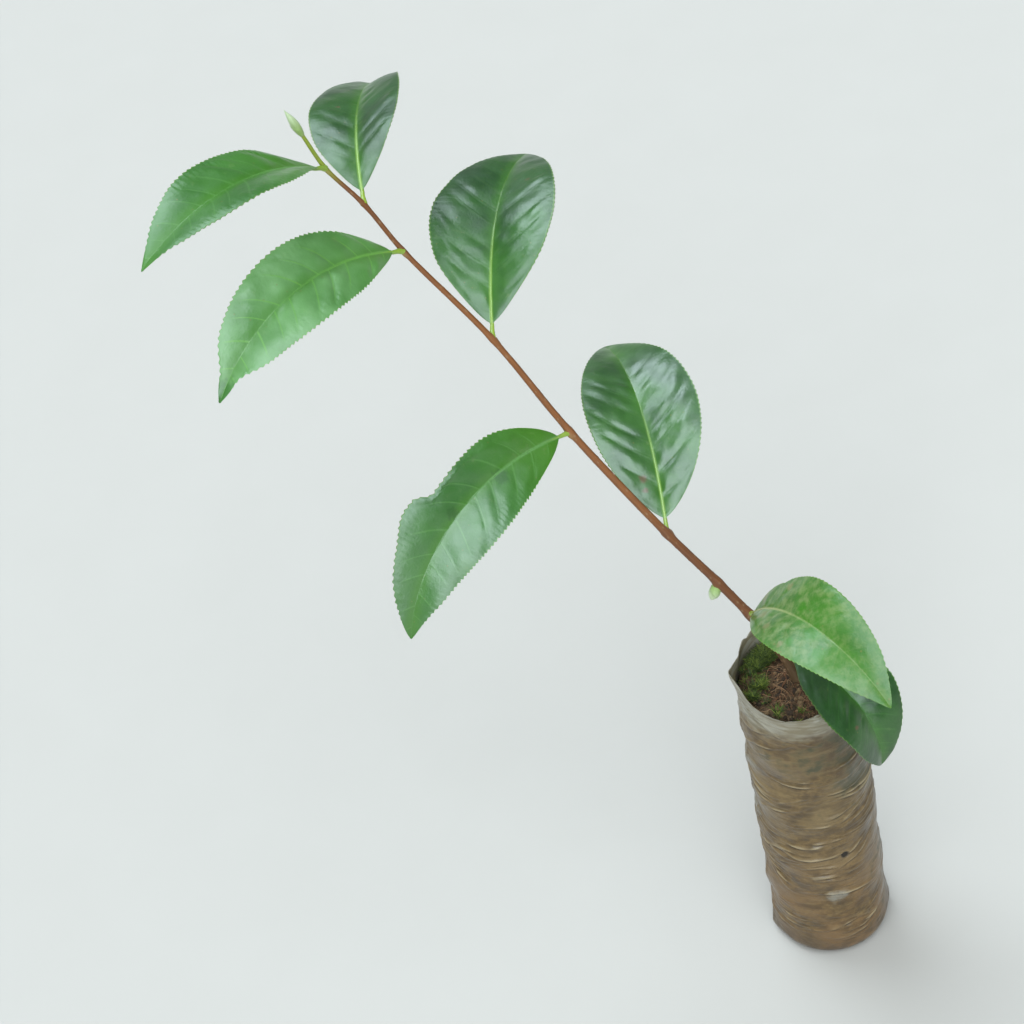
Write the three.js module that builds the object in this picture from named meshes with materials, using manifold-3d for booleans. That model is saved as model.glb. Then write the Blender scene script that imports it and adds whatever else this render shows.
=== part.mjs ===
// A tea seedling in its nursery sleeve: one thin leaning stem with eight leaves, two buds, and a tube of soil
import * as THREE from "three";
import { mergeVertices } from "three/addons/utils/BufferGeometryUtils.js";
import Module from "manifold-3d";

const wasm = await Module();
wasm.setup();

// Driving sizes in millimetres and degrees: turn 0 is +X, turn 90 is +Y, and lean is tilt from upright to -X
const GAP = 0.3;

const SLEEVE = { radius: 32, rim: 206, wall: 1, floor: 1, corner: 8, sides: 30, bands: 10 };
const CREASES = [
  { depth: 0.5, pitch: 43, twist: 2 },
  { depth: 0.3, pitch: 25, twist: -3 },
];
const EAR = { reach: 5, spread: 14, height: 7, turn: 24 };
const RIM = {
  flare: 1.6,
  flareLobes: 3,
  flareTurn: -11,
  rise: 2.4,
  riseLobes: 2,
  riseTurn: -31,
  slope: 5,
  lowTurn: -62,
  corner: 3,
  cornerRise: 2.5,
  cornerSpread: 16,
};

const SOIL = { level: 196, seat: 7, clods: 15, edge: 4, rings: [25, 19, 13, 7] };
const CLODS = [
  { height: 1.0, length: 33, turn: 20 },
  { height: 0.7, length: 24, turn: 110 },
];
const MOSS = { from: 120, to: 234, middle: 23, width: 12, endWidth: 5.5, depth: 3, sink: 2 };

const STEM = { foot: 2.5, tip: 0.9, flare: 1.2, flareLength: 9, knuckle: 0.5, knuckleLength: 3.5, sides: 10 };
const PETIOLE = { length: 8, foot: 1.25, neck: 1, end: 0.4, start: 0.3, ribShare: 0.55, sides: 8 };
const BLADE = {
  thicknessShare: 0.011,
  tipWidth: 0.9,
  fold: 12,
  bow: 0.6,
  ripple: 0.9,
  ripples: 2.5,
  footShare: 0.3,
  tipFrom: 0.8,
};
const BLADE_GRID = { along: 16, across: 6 };
const TIP_BUD = { length: 15, radius: 2, foot: 0.9 };
const SIDE_BUD = { length: 11, radius: 2.7, foot: 1.2, turn: 215, rise: -62 };
const BUD_GRID = { rings: 7, sides: 8 };

// One row for each internode from the foot up, and the leaf that stands at its upper end
const SHOOT = [
  {
    internode: 24, lean: 19,
    turn: 331, rise: 6, droop: 109, length: 87, width: 48, roll: -4, sweep: -10, wedge: 0.45, point: 0.1,
  },
  {
    internode: 27, lean: 27,
    turn: 313, rise: 48, droop: 100, length: 120, width: 43, roll: 23, sweep: 12, wedge: 0.15, point: 0.15,
  },
  { internode: 26, lean: 31, sideBud: true },
  {
    internode: 40, lean: 33,
    turn: 105, rise: 41, droop: 68, length: 124, width: 59, roll: 1, sweep: 19, wedge: 0, point: 0.15,
  },
  {
    internode: 78, lean: 30,
    turn: 237, rise: 18, droop: 91, length: 136, width: 44, roll: -44, sweep: 3, wedge: 0, point: 0.2,
  },
  {
    internode: 65, lean: 26,
    turn: 100, rise: 34, droop: 59, length: 119, width: 63, roll: -3, sweep: -14, wedge: 0.2, point: 0.2,
  },
  {
    internode: 63, lean: 32,
    turn: 243, rise: 32, droop: 80, length: 125, width: 41, roll: -32, sweep: -3, wedge: 0.1, point: 0.3,
  },
  {
    internode: 30, lean: 26,
    turn: 109, rise: 19, droop: 62, length: 115, width: 46, roll: -8, sweep: -13, wedge: 0.15, point: 0.15,
  },
  {
    internode: 25, lean: 34,
    turn: 252, rise: 38, droop: 66, length: 116, width: 40, roll: -5, sweep: -15, wedge: 0, point: 0.3,
  },
  { internode: 20, lean: 20 },
];

// Colours and finishes
const FINISH = {
  film: { color: 0x8d7f63, roughness: 0.45, metalness: 0 },
  soil: { color: 0x4a3524, roughness: 0.95, metalness: 0 },
  moss: { color: 0x4f7a2a, roughness: 0.9, metalness: 0 },
  bark: { color: 0x8a5a3c, roughness: 0.7, metalness: 0 },
  leaf: { color: 0x2f6b2a, roughness: 0.4, metalness: 0 },
  bud: { color: 0xb9cf8e, roughness: 0.5, metalness: 0 },
};

const radians = (degrees) => THREE.MathUtils.degToRad(degrees);

function heading(turn, rise) {
  const level = Math.cos(radians(rise));
  const east = level * Math.cos(radians(turn));
  const north = level * Math.sin(radians(turn));
  return new THREE.Vector3(east, north, Math.sin(radians(rise)));
}

// A closed three.js shape with its shared corners merged and every corner moved by place(corner)
function shaped(geometry, place) {
  geometry.deleteAttribute("normal");
  geometry.deleteAttribute("uv");
  const merged = mergeVertices(geometry, 1e-5);
  const position = merged.getAttribute("position");
  const corner = new THREE.Vector3();
  for (let i = 0; i < position.count; i += 1) {
    corner.fromBufferAttribute(position, i);
    const moved = place(corner);
    position.setXYZ(i, moved.x, moved.y, moved.z);
  }
  return merged;
}

// Joining and cutting closed shapes
function toSolid(geometry) {
  const vertProperties = new Float32Array(geometry.getAttribute("position").array);
  const triVerts = new Uint32Array(geometry.getIndex().array);
  return new wasm.Manifold(new wasm.Mesh({ numProp: 3, vertProperties, triVerts }));
}

function toGeometry(solid) {
  const mesh = solid.getMesh();
  const geometry = new THREE.BufferGeometry();
  geometry.setAttribute("position", new THREE.BufferAttribute(mesh.vertProperties, 3));
  geometry.setIndex(new THREE.BufferAttribute(mesh.triVerts, 1));
  return geometry;
}

function turnedShape(profile, sides) {
  const points = profile.map(([radius, height]) => new THREE.Vector2(radius, height));
  return new THREE.LatheGeometry(points, sides);
}

const uprightTo = (ahead) => new THREE.Quaternion().setFromUnitVectors(new THREE.Vector3(0, 1, 0), ahead);

// A round limb: each ring has a centre, a direction and a radius, from the foot up
function limb(rings, sides) {
  const steps = rings.length - 1;
  const rod = new THREE.CylinderGeometry(1, 1, 1, sides, steps);
  const place = (corner) => {
    const ring = rings[Math.round((corner.y + 0.5) * steps)];
    const arm = new THREE.Vector3(corner.x * ring.radius, 0, corner.z * ring.radius);
    return arm.applyQuaternion(uprightTo(ring.ahead)).add(ring.centre);
  };
  return shaped(rod, place);
}

// The sleeve: an open-topped film tube with slack creases, two pinched corners and an uneven rim
function sleeveOutline(height) {
  const below = Math.max(0, SLEEVE.corner - height);
  return SLEEVE.radius - SLEEVE.corner + Math.sqrt(SLEEVE.corner ** 2 - below ** 2);
}

function slack(angle, height) {
  const wave = ({ depth, pitch, twist }) => depth * Math.sin((2 * Math.PI * height) / pitch + twist * angle);
  const fade = Math.min(1, height / CREASES[0].pitch);
  return fade * CREASES.reduce((sum, crease) => sum + wave(crease), 0);
}

function ear(angle, height) {
  const sideways = Math.sin(angle - radians(EAR.turn)) / Math.sin(radians(EAR.spread));
  return EAR.reach * Math.exp(-(sideways ** 2)) * Math.exp(-height / EAR.height);
}

// How far the rim stands out and up: uneven, lowest at one side, and pinched where the flat tube was folded
function rimLie(angle) {
  const sideways = Math.sin(angle - radians(EAR.turn)) / Math.sin(radians(RIM.cornerSpread));
  const pinch = Math.exp(-(sideways ** 2));
  const flare = RIM.flare * Math.sin(RIM.flareLobes * (angle - radians(RIM.flareTurn)));
  const rise = RIM.rise * Math.sin(RIM.riseLobes * (angle - radians(RIM.riseTurn)));
  const slope = RIM.slope * Math.cos(angle - radians(RIM.lowTurn));
  return { flare: flare + RIM.corner * pinch, lift: rise - slope + RIM.cornerRise * pinch };
}

function onSleeve(corner) {
  const radius = Math.hypot(corner.x, corner.y);
  const angle = Math.atan2(corner.y, corner.x);
  const outward = (radius / SLEEVE.radius) ** 2;
  const rim = rimLie(angle);
  const rimShare = Math.max(0, (corner.z - SOIL.level) / (SLEEVE.rim - SOIL.level));
  const spread = outward * (slack(angle, corner.z) + ear(angle, corner.z)) + rimShare * rim.flare;
  const grown = radius > 0 ? (radius + spread) / radius : 1;
  return new THREE.Vector3(corner.x * grown, corner.y * grown, corner.z + rimShare * rim.lift);
}

// Heights that the film and the soil inside it share, so that their walls stay parallel
function wallHeights() {
  const { corner, bands } = SLEEVE;
  const rounded = [0.25, 0.6, 1, 1.4].map((share) => corner * share);
  const start = 2 * corner;
  const span = SOIL.level - SOIL.edge - start;
  const upright = Array.from({ length: bands + 1 }, (_, i) => start + (span * i) / bands);
  return [...rounded, ...upright];
}

function sleeveShape() {
  const { wall, floor, rim, sides } = SLEEVE;
  const heights = [floor, ...wallHeights(), SOIL.level, (SOIL.level + rim) / 2, rim];
  const outside = heights.map((z) => [sleeveOutline(z), z]);
  const inside = heights.map((z) => [sleeveOutline(z) - wall, z]).reverse();
  const profile = [[0, 0], [sleeveOutline(0), 0], ...outside, ...inside, [0, floor]];
  return shaped(turnedShape(profile, sides).rotateX(Math.PI / 2), onSleeve);
}

// The soil: it fills the tube, and its lumpy top is flat where the stem stands
function clods(x, y) {
  const away = THREE.MathUtils.smoothstep(Math.hypot(x, y), SOIL.seat, SOIL.clods);
  const wave = ({ height, length, turn }) => {
    const along = x * Math.cos(radians(turn)) + y * Math.sin(radians(turn));
    return height * Math.sin((2 * Math.PI * along) / length);
  };
  return away * CLODS.reduce((sum, clod) => sum + wave(clod), 0);
}

function soilShape() {
  const inset = SLEEVE.wall + GAP;
  const base = SLEEVE.floor + GAP;
  const side = [base, ...wallHeights()].map((z) => [sleeveOutline(z) - inset, z]);
  const edge = [SLEEVE.radius - inset - SOIL.edge / 3, SOIL.level - SOIL.edge / 4];
  const top = SOIL.rings.map((radius) => [radius, SOIL.level]);
  const profile = [[0, base], ...side, edge, ...top, [0, SOIL.level]];
  const place = (corner) => {
    const moved = onSleeve(corner);
    const onTop = corner.z > SOIL.level - SOIL.edge / 2;
    moved.z += onTop ? clods(corner.x, corner.y) : 0;
    return moved;
  };
  return shaped(turnedShape(profile, SLEEVE.sides).rotateX(Math.PI / 2), place);
}

// The moss: a low cushion along the rim, cut to lie on the soil
function mossShape(soil) {
  const block = new THREE.BoxGeometry(1, 1, 1, 9, 4, 1);
  const place = (corner) => {
    const swell = Math.cos(Math.PI * corner.x);
    const width = MOSS.endWidth + (MOSS.width - MOSS.endWidth) * swell;
    const radius = MOSS.middle + width * corner.y;
    const angle = radians((MOSS.from + MOSS.to) / 2 - (MOSS.to - MOSS.from) * corner.x);
    const crown = Math.cos(0.8 * Math.PI * corner.y) * (0.5 + 0.5 * swell);
    const height = corner.z > 0 ? MOSS.depth * crown : -MOSS.sink;
    return new THREE.Vector3(radius * Math.cos(angle), radius * Math.sin(angle), SOIL.level + height);
  };
  const cushion = toSolid(shaped(block, place));
  const raised = toSolid(soil.clone().translate(0, 0, GAP));
  return toGeometry(cushion.subtract(raised));
}

// The stem: its nodes stand where the internodes end, and it thins from a flared foot to the tip
function stemNodes() {
  const point = new THREE.Vector3(0, 0, SOIL.level + GAP);
  const nodes = [point.clone()];
  for (const row of SHOOT) {
    point.addScaledVector(heading(180, 90 - row.lean), row.internode);
    nodes.push(point.clone());
  }
  return nodes;
}

function stemRadius(distance, knuckles, total) {
  const taper = STEM.foot + (STEM.tip - STEM.foot) * (distance / total);
  const flare = STEM.flare * Math.exp(-distance / STEM.flareLength);
  const swelling = (place) => Math.exp(-(((distance - place) / STEM.knuckleLength) ** 2));
  const swollen = knuckles.reduce((sum, place) => sum + swelling(place), 0);
  return taper + flare + STEM.knuckle * swollen * (taper / STEM.foot);
}

// Distances along the stem where its rings lie: close together at the foot and at each node
function stemStations(knuckles, total) {
  const longest = 13;
  const marks = [0, 3, 7, 13, total];
  for (const place of knuckles) {
    marks.push(...[-1.6, -0.7, 0, 0.7, 1.6].map((share) => place + share * STEM.knuckleLength));
  }
  marks.sort((a, b) => a - b);
  const stations = marks.slice(0, -1).flatMap((mark, i) => {
    const span = marks[i + 1] - mark;
    const parts = Math.ceil(span / longest);
    return Array.from({ length: parts }, (_, k) => mark + (span * k) / parts);
  });
  return [...stations, total];
}

function stemRings(nodes, extra) {
  const samples = 20;
  const curve = new THREE.CatmullRomCurve3(nodes, false, "centripetal");
  const total = curve.getLength();
  const lengths = curve.getLengths(SHOOT.length * samples);
  const knuckles = SHOOT.slice(1).map((_, i) => lengths[(i + 1) * samples]);
  return stemStations(knuckles, total).map((distance) => {
    const share = distance / total;
    const ahead = distance === 0 ? new THREE.Vector3(0, 0, 1) : curve.getTangentAt(share);
    const radius = stemRadius(distance, knuckles, total) + extra;
    return { centre: curve.getPointAt(share), ahead, radius };
  });
}

// The leaves: u runs along the midrib from 0 to 1, and v across the blade from -1 to 1
function bladeStations(leaf, base) {
  const steps = BLADE_GRID.along;
  const roll = radians(leaf.roll);
  const point = base.clone();
  let before = null;
  return Array.from({ length: steps + 1 }, (_, i) => {
    const u = i / steps;
    const turn = leaf.turn + leaf.sweep * u;
    const ahead = heading(turn, leaf.rise - leaf.droop * u ** 1.3);
    const level = heading(turn + 90, 0);
    const up = ahead.clone().cross(level);
    const side = level.multiplyScalar(Math.cos(roll)).addScaledVector(up, Math.sin(roll));
    const normal = ahead.clone().cross(side);
    if (before) {
      point.addScaledVector(before.clone().add(ahead), leaf.length / steps / 2);
    }
    before = ahead;
    return { point: point.clone(), ahead, side, normal };
  });
}

// Half the blade's width, less what its wedge takes off at the foot and its drawn-out point at the tip
function halfWidth(leaf, u) {
  const share = Math.sin(Math.PI * u ** 0.92) ** 0.8;
  const foot = 1 - leaf.wedge * (1 - THREE.MathUtils.smoothstep(u, 0, BLADE.footShare));
  const tip = 1 - leaf.point * THREE.MathUtils.smoothstep(u, BLADE.tipFrom, 1);
  return Math.max(BLADE.tipWidth, (leaf.width / 2) * share * foot * tip);
}

// Each half of the blade rises from the midrib and bows over, and its margin ripples
function vault(reach, u, v) {
  const out = Math.abs(v);
  const fold = Math.sin(radians(BLADE.fold)) * ((1 + BLADE.bow) * out - BLADE.bow * out ** 3);
  const ripple = Math.sin(2 * Math.PI * BLADE.ripples * u) * Math.sin(Math.PI * u);
  return reach * fold + BLADE.ripple * v * out * ripple;
}

function bladeShape(leaf, stations) {
  const { along } = BLADE_GRID;
  const thickness = BLADE.thicknessShare * leaf.length;
  const slab = new THREE.BoxGeometry(1, 1, 1, BLADE_GRID.across, 1, along);
  const place = (corner) => {
    const u = corner.z + 0.5;
    const v = 2 * corner.x;
    const station = stations[Math.round(u * along)];
    const reach = halfWidth(leaf, u);
    const sideways = reach * v * Math.cos(radians(BLADE.fold));
    const height = vault(reach, u, v) + corner.y * thickness;
    const across = station.point.clone().addScaledVector(station.side, sideways);
    return across.addScaledVector(station.normal, height);
  };
  return shaped(slab, place);
}

// The petiole runs on inside the blade as its midrib
function petioleRings(leaf, node, stations) {
  const ahead = heading(leaf.turn, leaf.rise);
  const start = node.clone().addScaledVector(ahead, PETIOLE.start);
  const foot = { centre: start, ahead, radius: PETIOLE.foot };
  const neck = { centre: stations[0].point, ahead, radius: PETIOLE.neck };
  const last = Math.round(PETIOLE.ribShare * BLADE_GRID.along);
  const rib = stations.slice(1, last + 1).map((station, i) => {
    const radius = PETIOLE.neck + ((PETIOLE.end - PETIOLE.neck) * (i + 1)) / last;
    return { centre: station.point, ahead: station.ahead, radius };
  });
  return [foot, neck, ...rib];
}

function leafShape(leaf, node, clearStem) {
  const base = node.clone().addScaledVector(heading(leaf.turn, leaf.rise), PETIOLE.length);
  const stations = bladeStations(leaf, base);
  const blade = toSolid(bladeShape(leaf, stations));
  const petiole = toSolid(limb(petioleRings(leaf, node, stations), PETIOLE.sides));
  return toGeometry(blade.add(petiole).subtract(clearStem));
}

// The buds: slender spindles, one on the shoot's tip and one where a leaf has fallen
function budShape(bud, start, ahead) {
  const { rings, sides } = BUD_GRID;
  const body = Array.from({ length: rings }, (_, i) => {
    const share = i / rings;
    const swell = (bud.radius - bud.foot / 2) * Math.sin(Math.PI * share ** 0.8);
    return [bud.foot * (1 - share) + swell, bud.length * share];
  });
  const profile = [[0, 0], ...body, [0, bud.length]];
  const spindle = shaped(turnedShape(profile, sides), (corner) => corner);
  return spindle.applyQuaternion(uprightTo(ahead)).translate(start.x, start.y, start.z);
}

function node(name, geometry, finish) {
  geometry.computeVertexNormals();
  const mesh = new THREE.Mesh(geometry, new THREE.MeshStandardMaterial(FINISH[finish]));
  mesh.name = name;
  return mesh;
}

// The sleeve with its filling
const container = new THREE.Group();
const soil = soilShape();
container.add(node("sleeve", sleeveShape(), "film"));
container.add(node("soil", soil, "soil"));
container.add(node("moss", mossShape(soil), "moss"));

// The shoot: the stem, then the leaf or bud of each node, and the bud at the tip
const shoot = new THREE.Group();
const nodes = stemNodes();
const rings = stemRings(nodes, 0);
const clearStem = toSolid(limb(stemRings(nodes, 1.1 * GAP), STEM.sides));
shoot.add(node("stem", limb(rings, STEM.sides), "bark"));

let leafCount = 0;
SHOOT.forEach((row, i) => {
  const place = nodes[i + 1];
  if (row.length) {
    leafCount += 1;
    shoot.add(node(`leaf-${leafCount}`, leafShape(row, place, clearStem), "leaf"));
  }
  if (row.sideBud) {
    const bud = toSolid(budShape(SIDE_BUD, place, heading(SIDE_BUD.turn, SIDE_BUD.rise)));
    shoot.add(node("side-bud", toGeometry(bud.subtract(clearStem)), "bud"));
  }
});

const end = rings.at(-1);
const tipStart = end.centre.clone().addScaledVector(end.ahead, GAP);
shoot.add(node("tip-bud", budShape(TIP_BUD, tipStart, end.ahead), "bud"));

const seedling = new THREE.Group();
seedling.add(container, shoot);

export default seedling;
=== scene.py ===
from dataclasses import dataclass

import bmesh
import bpy
import numpy as np
from mathutils import Matrix, Vector, noise


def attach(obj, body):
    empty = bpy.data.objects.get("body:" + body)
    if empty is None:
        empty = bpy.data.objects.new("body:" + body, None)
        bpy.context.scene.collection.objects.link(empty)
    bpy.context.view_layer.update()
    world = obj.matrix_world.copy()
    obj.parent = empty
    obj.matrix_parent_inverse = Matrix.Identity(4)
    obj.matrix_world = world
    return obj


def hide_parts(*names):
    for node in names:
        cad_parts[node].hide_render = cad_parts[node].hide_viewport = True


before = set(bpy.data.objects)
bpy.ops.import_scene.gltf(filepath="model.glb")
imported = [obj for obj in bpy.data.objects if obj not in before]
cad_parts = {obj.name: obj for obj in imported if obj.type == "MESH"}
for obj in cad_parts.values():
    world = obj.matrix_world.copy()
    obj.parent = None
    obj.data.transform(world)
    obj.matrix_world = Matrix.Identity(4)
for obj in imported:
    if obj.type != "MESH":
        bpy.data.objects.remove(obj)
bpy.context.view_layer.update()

# Sizes are in millimetres and degrees: turn 0 is +X, turn 90 is +Y, and lean is tilt from upright to -X
MM = 0.001
GAP = 0.3
UP = np.array([0, 0, 1.0])
BACK = np.array([0, 1.0, 0])

# The plant's rule, as the solids have it
STEM = {"foot": 2.5, "tip": 0.9, "flare": 1.2, "flare_length": 9, "knuckle": 0.5, "knuckle_length": 3.5}
PETIOLE = {"length": 8, "neck": 1.0, "end": 0.4, "rib_share": 0.55}
BLADE = {
    "tip_width": 0.9, "fold": 12, "bow": 0.6, "ripple": 0.9, "ripples": 2.5, "foot_share": 0.3,
    "tip_from": 0.8, "cap_from": 0.985, "cap_length": 0.015,
    "droop_power": 1.3, "widest_power": 0.92, "round_power": 0.8,
}
TIP_BUD = {"length": 15, "radius": 2.0, "foot": 0.9, "widest": 0.8, "blunt": 1.0}
SIDE_BUD = {
    "length": 11.5, "radius": 3.1, "foot": 1.2, "widest": 1.2, "blunt": 0.7,
    "turn": 215, "rise": -62, "node": 3,
}
# One row for each internode and the leaf at its upper end. The side bud and the tip have no leaf
GROWTH = ("internode", "lean", "turn", "rise", "droop", "length", "width", "roll", "sweep", "wedge", "point")
SHOOT = [
    dict(zip(GROWTH, row))
    for row in [
        (24, 19, 331, 6, 109, 87, 48, -4, -10, 0.45, 0.1),
        (27, 27, 313, 48, 100, 120, 43, 23, 12, 0.15, 0.15),
        (26, 31),
        (40, 33, 105, 41, 68, 124, 59, 1, 19, 0.0, 0.15),
        (78, 30, 237, 18, 91, 136, 44, -44, 3, 0.0, 0.2),
        (65, 26, 100, 34, 59, 119, 63, -3, -14, 0.2, 0.2),
        (63, 32, 243, 32, 80, 125, 41, -32, -3, 0.1, 0.3),
        (30, 26, 109, 19, 62, 115, 46, -8, -13, 0.15, 0.15),
        (25, 34, 252, 38, 66, 116, 40, -5, -15, 0.0, 0.3),
        (20, 20),
    ]
]

# The sleeve's rule, as the solids have it
SLEEVE = {"radius": 32, "rim": 206, "corner": 8}
CREASES = [dict(depth=0.5, pitch=43, twist=2), dict(depth=0.3, pitch=25, twist=-3)]
EAR = {"reach": 5, "spread": 14, "height": 7, "turn": 24}
RIM = {
    "flare": 1.6, "flare_lobes": 3, "flare_turn": -11, "rise": 2.4, "rise_lobes": 2, "rise_turn": -31,
    "slope": 5, "low_turn": -62, "corner": 3, "corner_rise": 2.5, "corner_spread": 16,
}
SOIL = {"level": 196, "seat": 7, "clods": 15, "inset": 1.3}
CLODS = [dict(height=1.0, length=33, turn=20), dict(height=0.7, length=24, turn=110)]
MOSS = {"start": 120, "end": 234, "middle": 23, "width": 12, "end_width": 5.5, "depth": 3, "bare_from": 0.38}

# Fine detail of the leaves
VEINS = {"pairs": 9, "slope": 0.5, "curve": 0.3, "waver": 0.13, "waver_beat": 2.3}
TEETH = {
    "pitch": 2.6, "depth": 1.05, "from": 0.14, "to": 0.96, "fade_in": 0.12, "fade_out": 0.08,
    "rise": 0.78, "drop": 0.22, "drift": 0.35, "drift_length": 7, "side_step": 0.3,
    "uneven": 0.45, "quick_beat": 1.9, "slow_beat": 0.37,
}
BULGES = {
    "grain": (11, 8, 1), "seed": 21.0, "middle": 0.75, "spread": 1.5, "least": 0.1, "most": 1.7,
    "roundness": 0.8, "sunk": 0.45,
}
# Waves of the blade as (height, size): a slow one towards the margin, and slight ones all over
MARGIN_WAVE = (1.5, 24.0)
FACE_WAVES = [(0.3, 9.0), (0.05, 3.4)]
# The petiole is swollen at its foot, then sinks into the blade and runs on as a rib that thins out
STALK = {
    "steps": 20, "sides": 14, "flatten": 0.85, "thicker": 0.2, "swell": 0.55, "swell_length": 3.2,
    "sunk": 0.62, "sunk_from": 3.0, "rib": 0.42, "rib_taper": 0.26, "rib_end": 1.012, "rib_fade": 18,
}
BLADE_THICKNESS = 0.5
LEAF_STEPS = 280

# Greens and browns of the leaves
# a dark green laid on as painted shade towards a leaf's tip
SHADE_GREEN = (0.009, 0.046, 0.009)
FRESH = (0.045, 0.168, 0.004)
VIVID = (0.03, 0.165, 0.002)
SOFT_RIB = (0.10, 0.255, 0.055)
LIME = (0.19, 0.33, 0.04)
STRAW = (0.33, 0.36, 0.14)
MOTTLE = (0.25, 0.295, 0.112)
SPECK = (0.16, 0.14, 0.035)
RUST = (0.12, 0.055, 0.025)
PALE_UNDERSIDE = (0.12, 0.21, 0.075)
PALE_VEIN = (0.27, 0.38, 0.14)
PETIOLE_GREEN = (0.24, 0.33, 0.025)

# One row for each leaf from the foot up. A bite is (share along, side, depth, width) on the margin, a stain
# is (share along, share across, radius) on the blade, and a torn shoulder drops from start to deep
LEAF_LOOKS = [
    dict(
        # leaf 1's own dark green is made darker still as painted shade from leaf 2 above it
        dark=(0.008, 0.048, 0.005), light=(0.020, 0.092, 0.009), rib=(0.08, 0.23, 0.04), fresh=0.15,
        teeth=0.5, bulge=0.7, veins=0.16, mottle=0.05, shine=0.8, stain=RUST, stains=[(0.62, -0.5, 1.1)],
    ),
    dict(
        dark=(0.030, 0.122, 0.008), light=(0.048, 0.162, 0.013), rib=STRAW, fresh=0.25, teeth=0.5,
        bulge=0.4, veins=0.06, mottle=0.8, shine=0.6, bites=[(0.22, 1, 0.9, 2.2)], stain=(0.19, 0.19, 0.07),
        stains=[(0.2, -0.35, 3.0), (0.1, 0.75, 3.4), (0.32, -0.6, 2.4), (0.47, -0.8, 2.0), (0.28, 0.7, 2.2)],
        vivid=[(0.55, -0.16, 4.6), (0.64, -0.5, 4.0), (0.42, 0.25, 3.0), (0.5, -0.62, 2.4)],
    ),
    dict(
        dark=(0.013, 0.066, 0.009), light=(0.034, 0.128, 0.014), rib=LIME, fresh=0.25, teeth=0.65,
        bulge=1.4, veins=0.03, mottle=0.05, stain=RUST, stains=[(0.17, 0.4, 2.2), (0.12, 0.5, 1.5)],
    ),
    dict(
        dark=(0.024, 0.108, 0.012), light=(0.042, 0.15, 0.022), rib=SOFT_RIB, fresh=1.0,
        bulge=0.6, veins=0.36, mottle=0.04, bites=[(0.615, -1, -2.4, 8)],
        shoulder=dict(side=-1, start=0.2, deep=0.51, end=0.565, depth=5.6),
        # leaf 4's stains are darker green patches beside the midrib
        stain=(0.012, 0.078, 0.003), stains=[(0.3, 0.12, 4.2), (0.52, -0.14, 3.2)],
    ),
    dict(
        dark=(0.012, 0.056, 0.010), light=(0.030, 0.118, 0.015), rib=LIME, fresh=0.2, teeth=0.65,
        # leaf 5 is painted darker towards its tip, as shade from the leaves above it
        bulge=0.85, veins=0.04, mottle=0.03, shine=0.75, shade_to_tip=0.6, stain=RUST, stains=[(0.66, -0.5, 0.8)],
    ),
    dict(
        # leaf 6's own green is lifted paler and bluer as a painted sheen
        dark=(0.070, 0.205, 0.042), light=(0.145, 0.315, 0.105), rib=(0.13, 0.33, 0.05), fresh=0.5,
        bulge=0.85, veins=0.6, mottle=0.03, shine=0.75, bites=[(0.89, 1, 2.2, 8), (0.89, -1, 1.6, 8)],
        stain=(0.020, 0.110, 0.008), stains=[(0.98, 0.0, 9.0)],
    ),
    dict(
        dark=(0.009, 0.042, 0.008), light=(0.020, 0.082, 0.012), rib=LIME, fresh=0.25, teeth=0.5,
        bulge=0.45, veins=0.04, mottle=0.03, shine=0.6, stain=RUST, stains=[(0.5, 0.4, 0.8)],
    ),
    dict(
        dark=(0.03, 0.12, 0.016), light=(0.052, 0.17, 0.026), rib=SOFT_RIB, fresh=0.8,
        bulge=0.5, veins=0.3, mottle=0.02, shine=0.55, stain=RUST, stains=[],
    ),
]


def heading(turn, rise):
    """Unit directions for turns and rises in degrees"""
    turn, rise = np.radians(turn), np.radians(rise)
    level = np.cos(rise)
    return np.stack([level * np.cos(turn), level * np.sin(turn), np.sin(rise) + 0 * turn], axis=-1)


def step_up(value, low, high):
    """0 below low, 1 above high and smooth between them"""
    share = np.clip((value - low) / (high - low), 0, 1)
    return share * share * (3 - 2 * share)


def step_down(value, low, high):
    """1 below low, 0 above high and smooth between them"""
    return step_up(-value, -high, -low)


def bell(value, width=1.0):
    return np.exp(-((value / width) ** 2))


def points_at(x, y, z=0.0):
    return np.stack(np.broadcast_arrays(x, y, z), axis=-1)


def noise_at(points, grain, seed=0.0):
    """Smooth noise from -1 to 1 at points, with lumps as large as grain, one size or one for each axis"""
    spots = np.asarray(points, float) / np.asarray(grain, float) + seed
    values = [noise.noise(spot) for spot in spots.reshape(-1, 3).tolist()]
    return np.array(values).reshape(spots.shape[:-1])


def full_turn(count):
    """Evenly spaced angles all the way round"""
    return np.arange(count) * 2 * np.pi / count


def wrapped(angle):
    """The same angle, at most half a turn either way"""
    return np.angle(np.exp(1j * angle))


def across_to(ahead, hint):
    """Two unit directions square to ahead, the first one nearest to hint"""
    first = hint - ahead * np.sum(hint * ahead, axis=-1, keepdims=True)
    first = first / np.linalg.norm(first, axis=-1, keepdims=True)
    return first, np.cross(ahead, first)


# Meshes from grids of points
@dataclass
class Part:
    """Points, four-cornered faces, the map place of each face corner, and named values at the points"""

    points: np.ndarray
    faces: np.ndarray
    corners: np.ndarray
    values: dict


# The windows that parts fill in their piece's map, as (left, bottom, right, top)
WHOLE_MAP = (0.01, 0.01, 0.99, 0.99)
TOP_FACE = (0.01, 0.01, 0.99, 0.41)
UNDERSIDE = (0.01, 0.43, 0.99, 0.83)
MARGINS = [(0.01, 0.845, 0.99, 0.85), (0.01, 0.855, 0.99, 0.86)]
ENDS = [(0.01, 0.865, 0.3, 0.87), (0.4, 0.865, 0.7, 0.87)]
RIB_STRIP = (0.01, 0.89, 0.99, 0.99)


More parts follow.
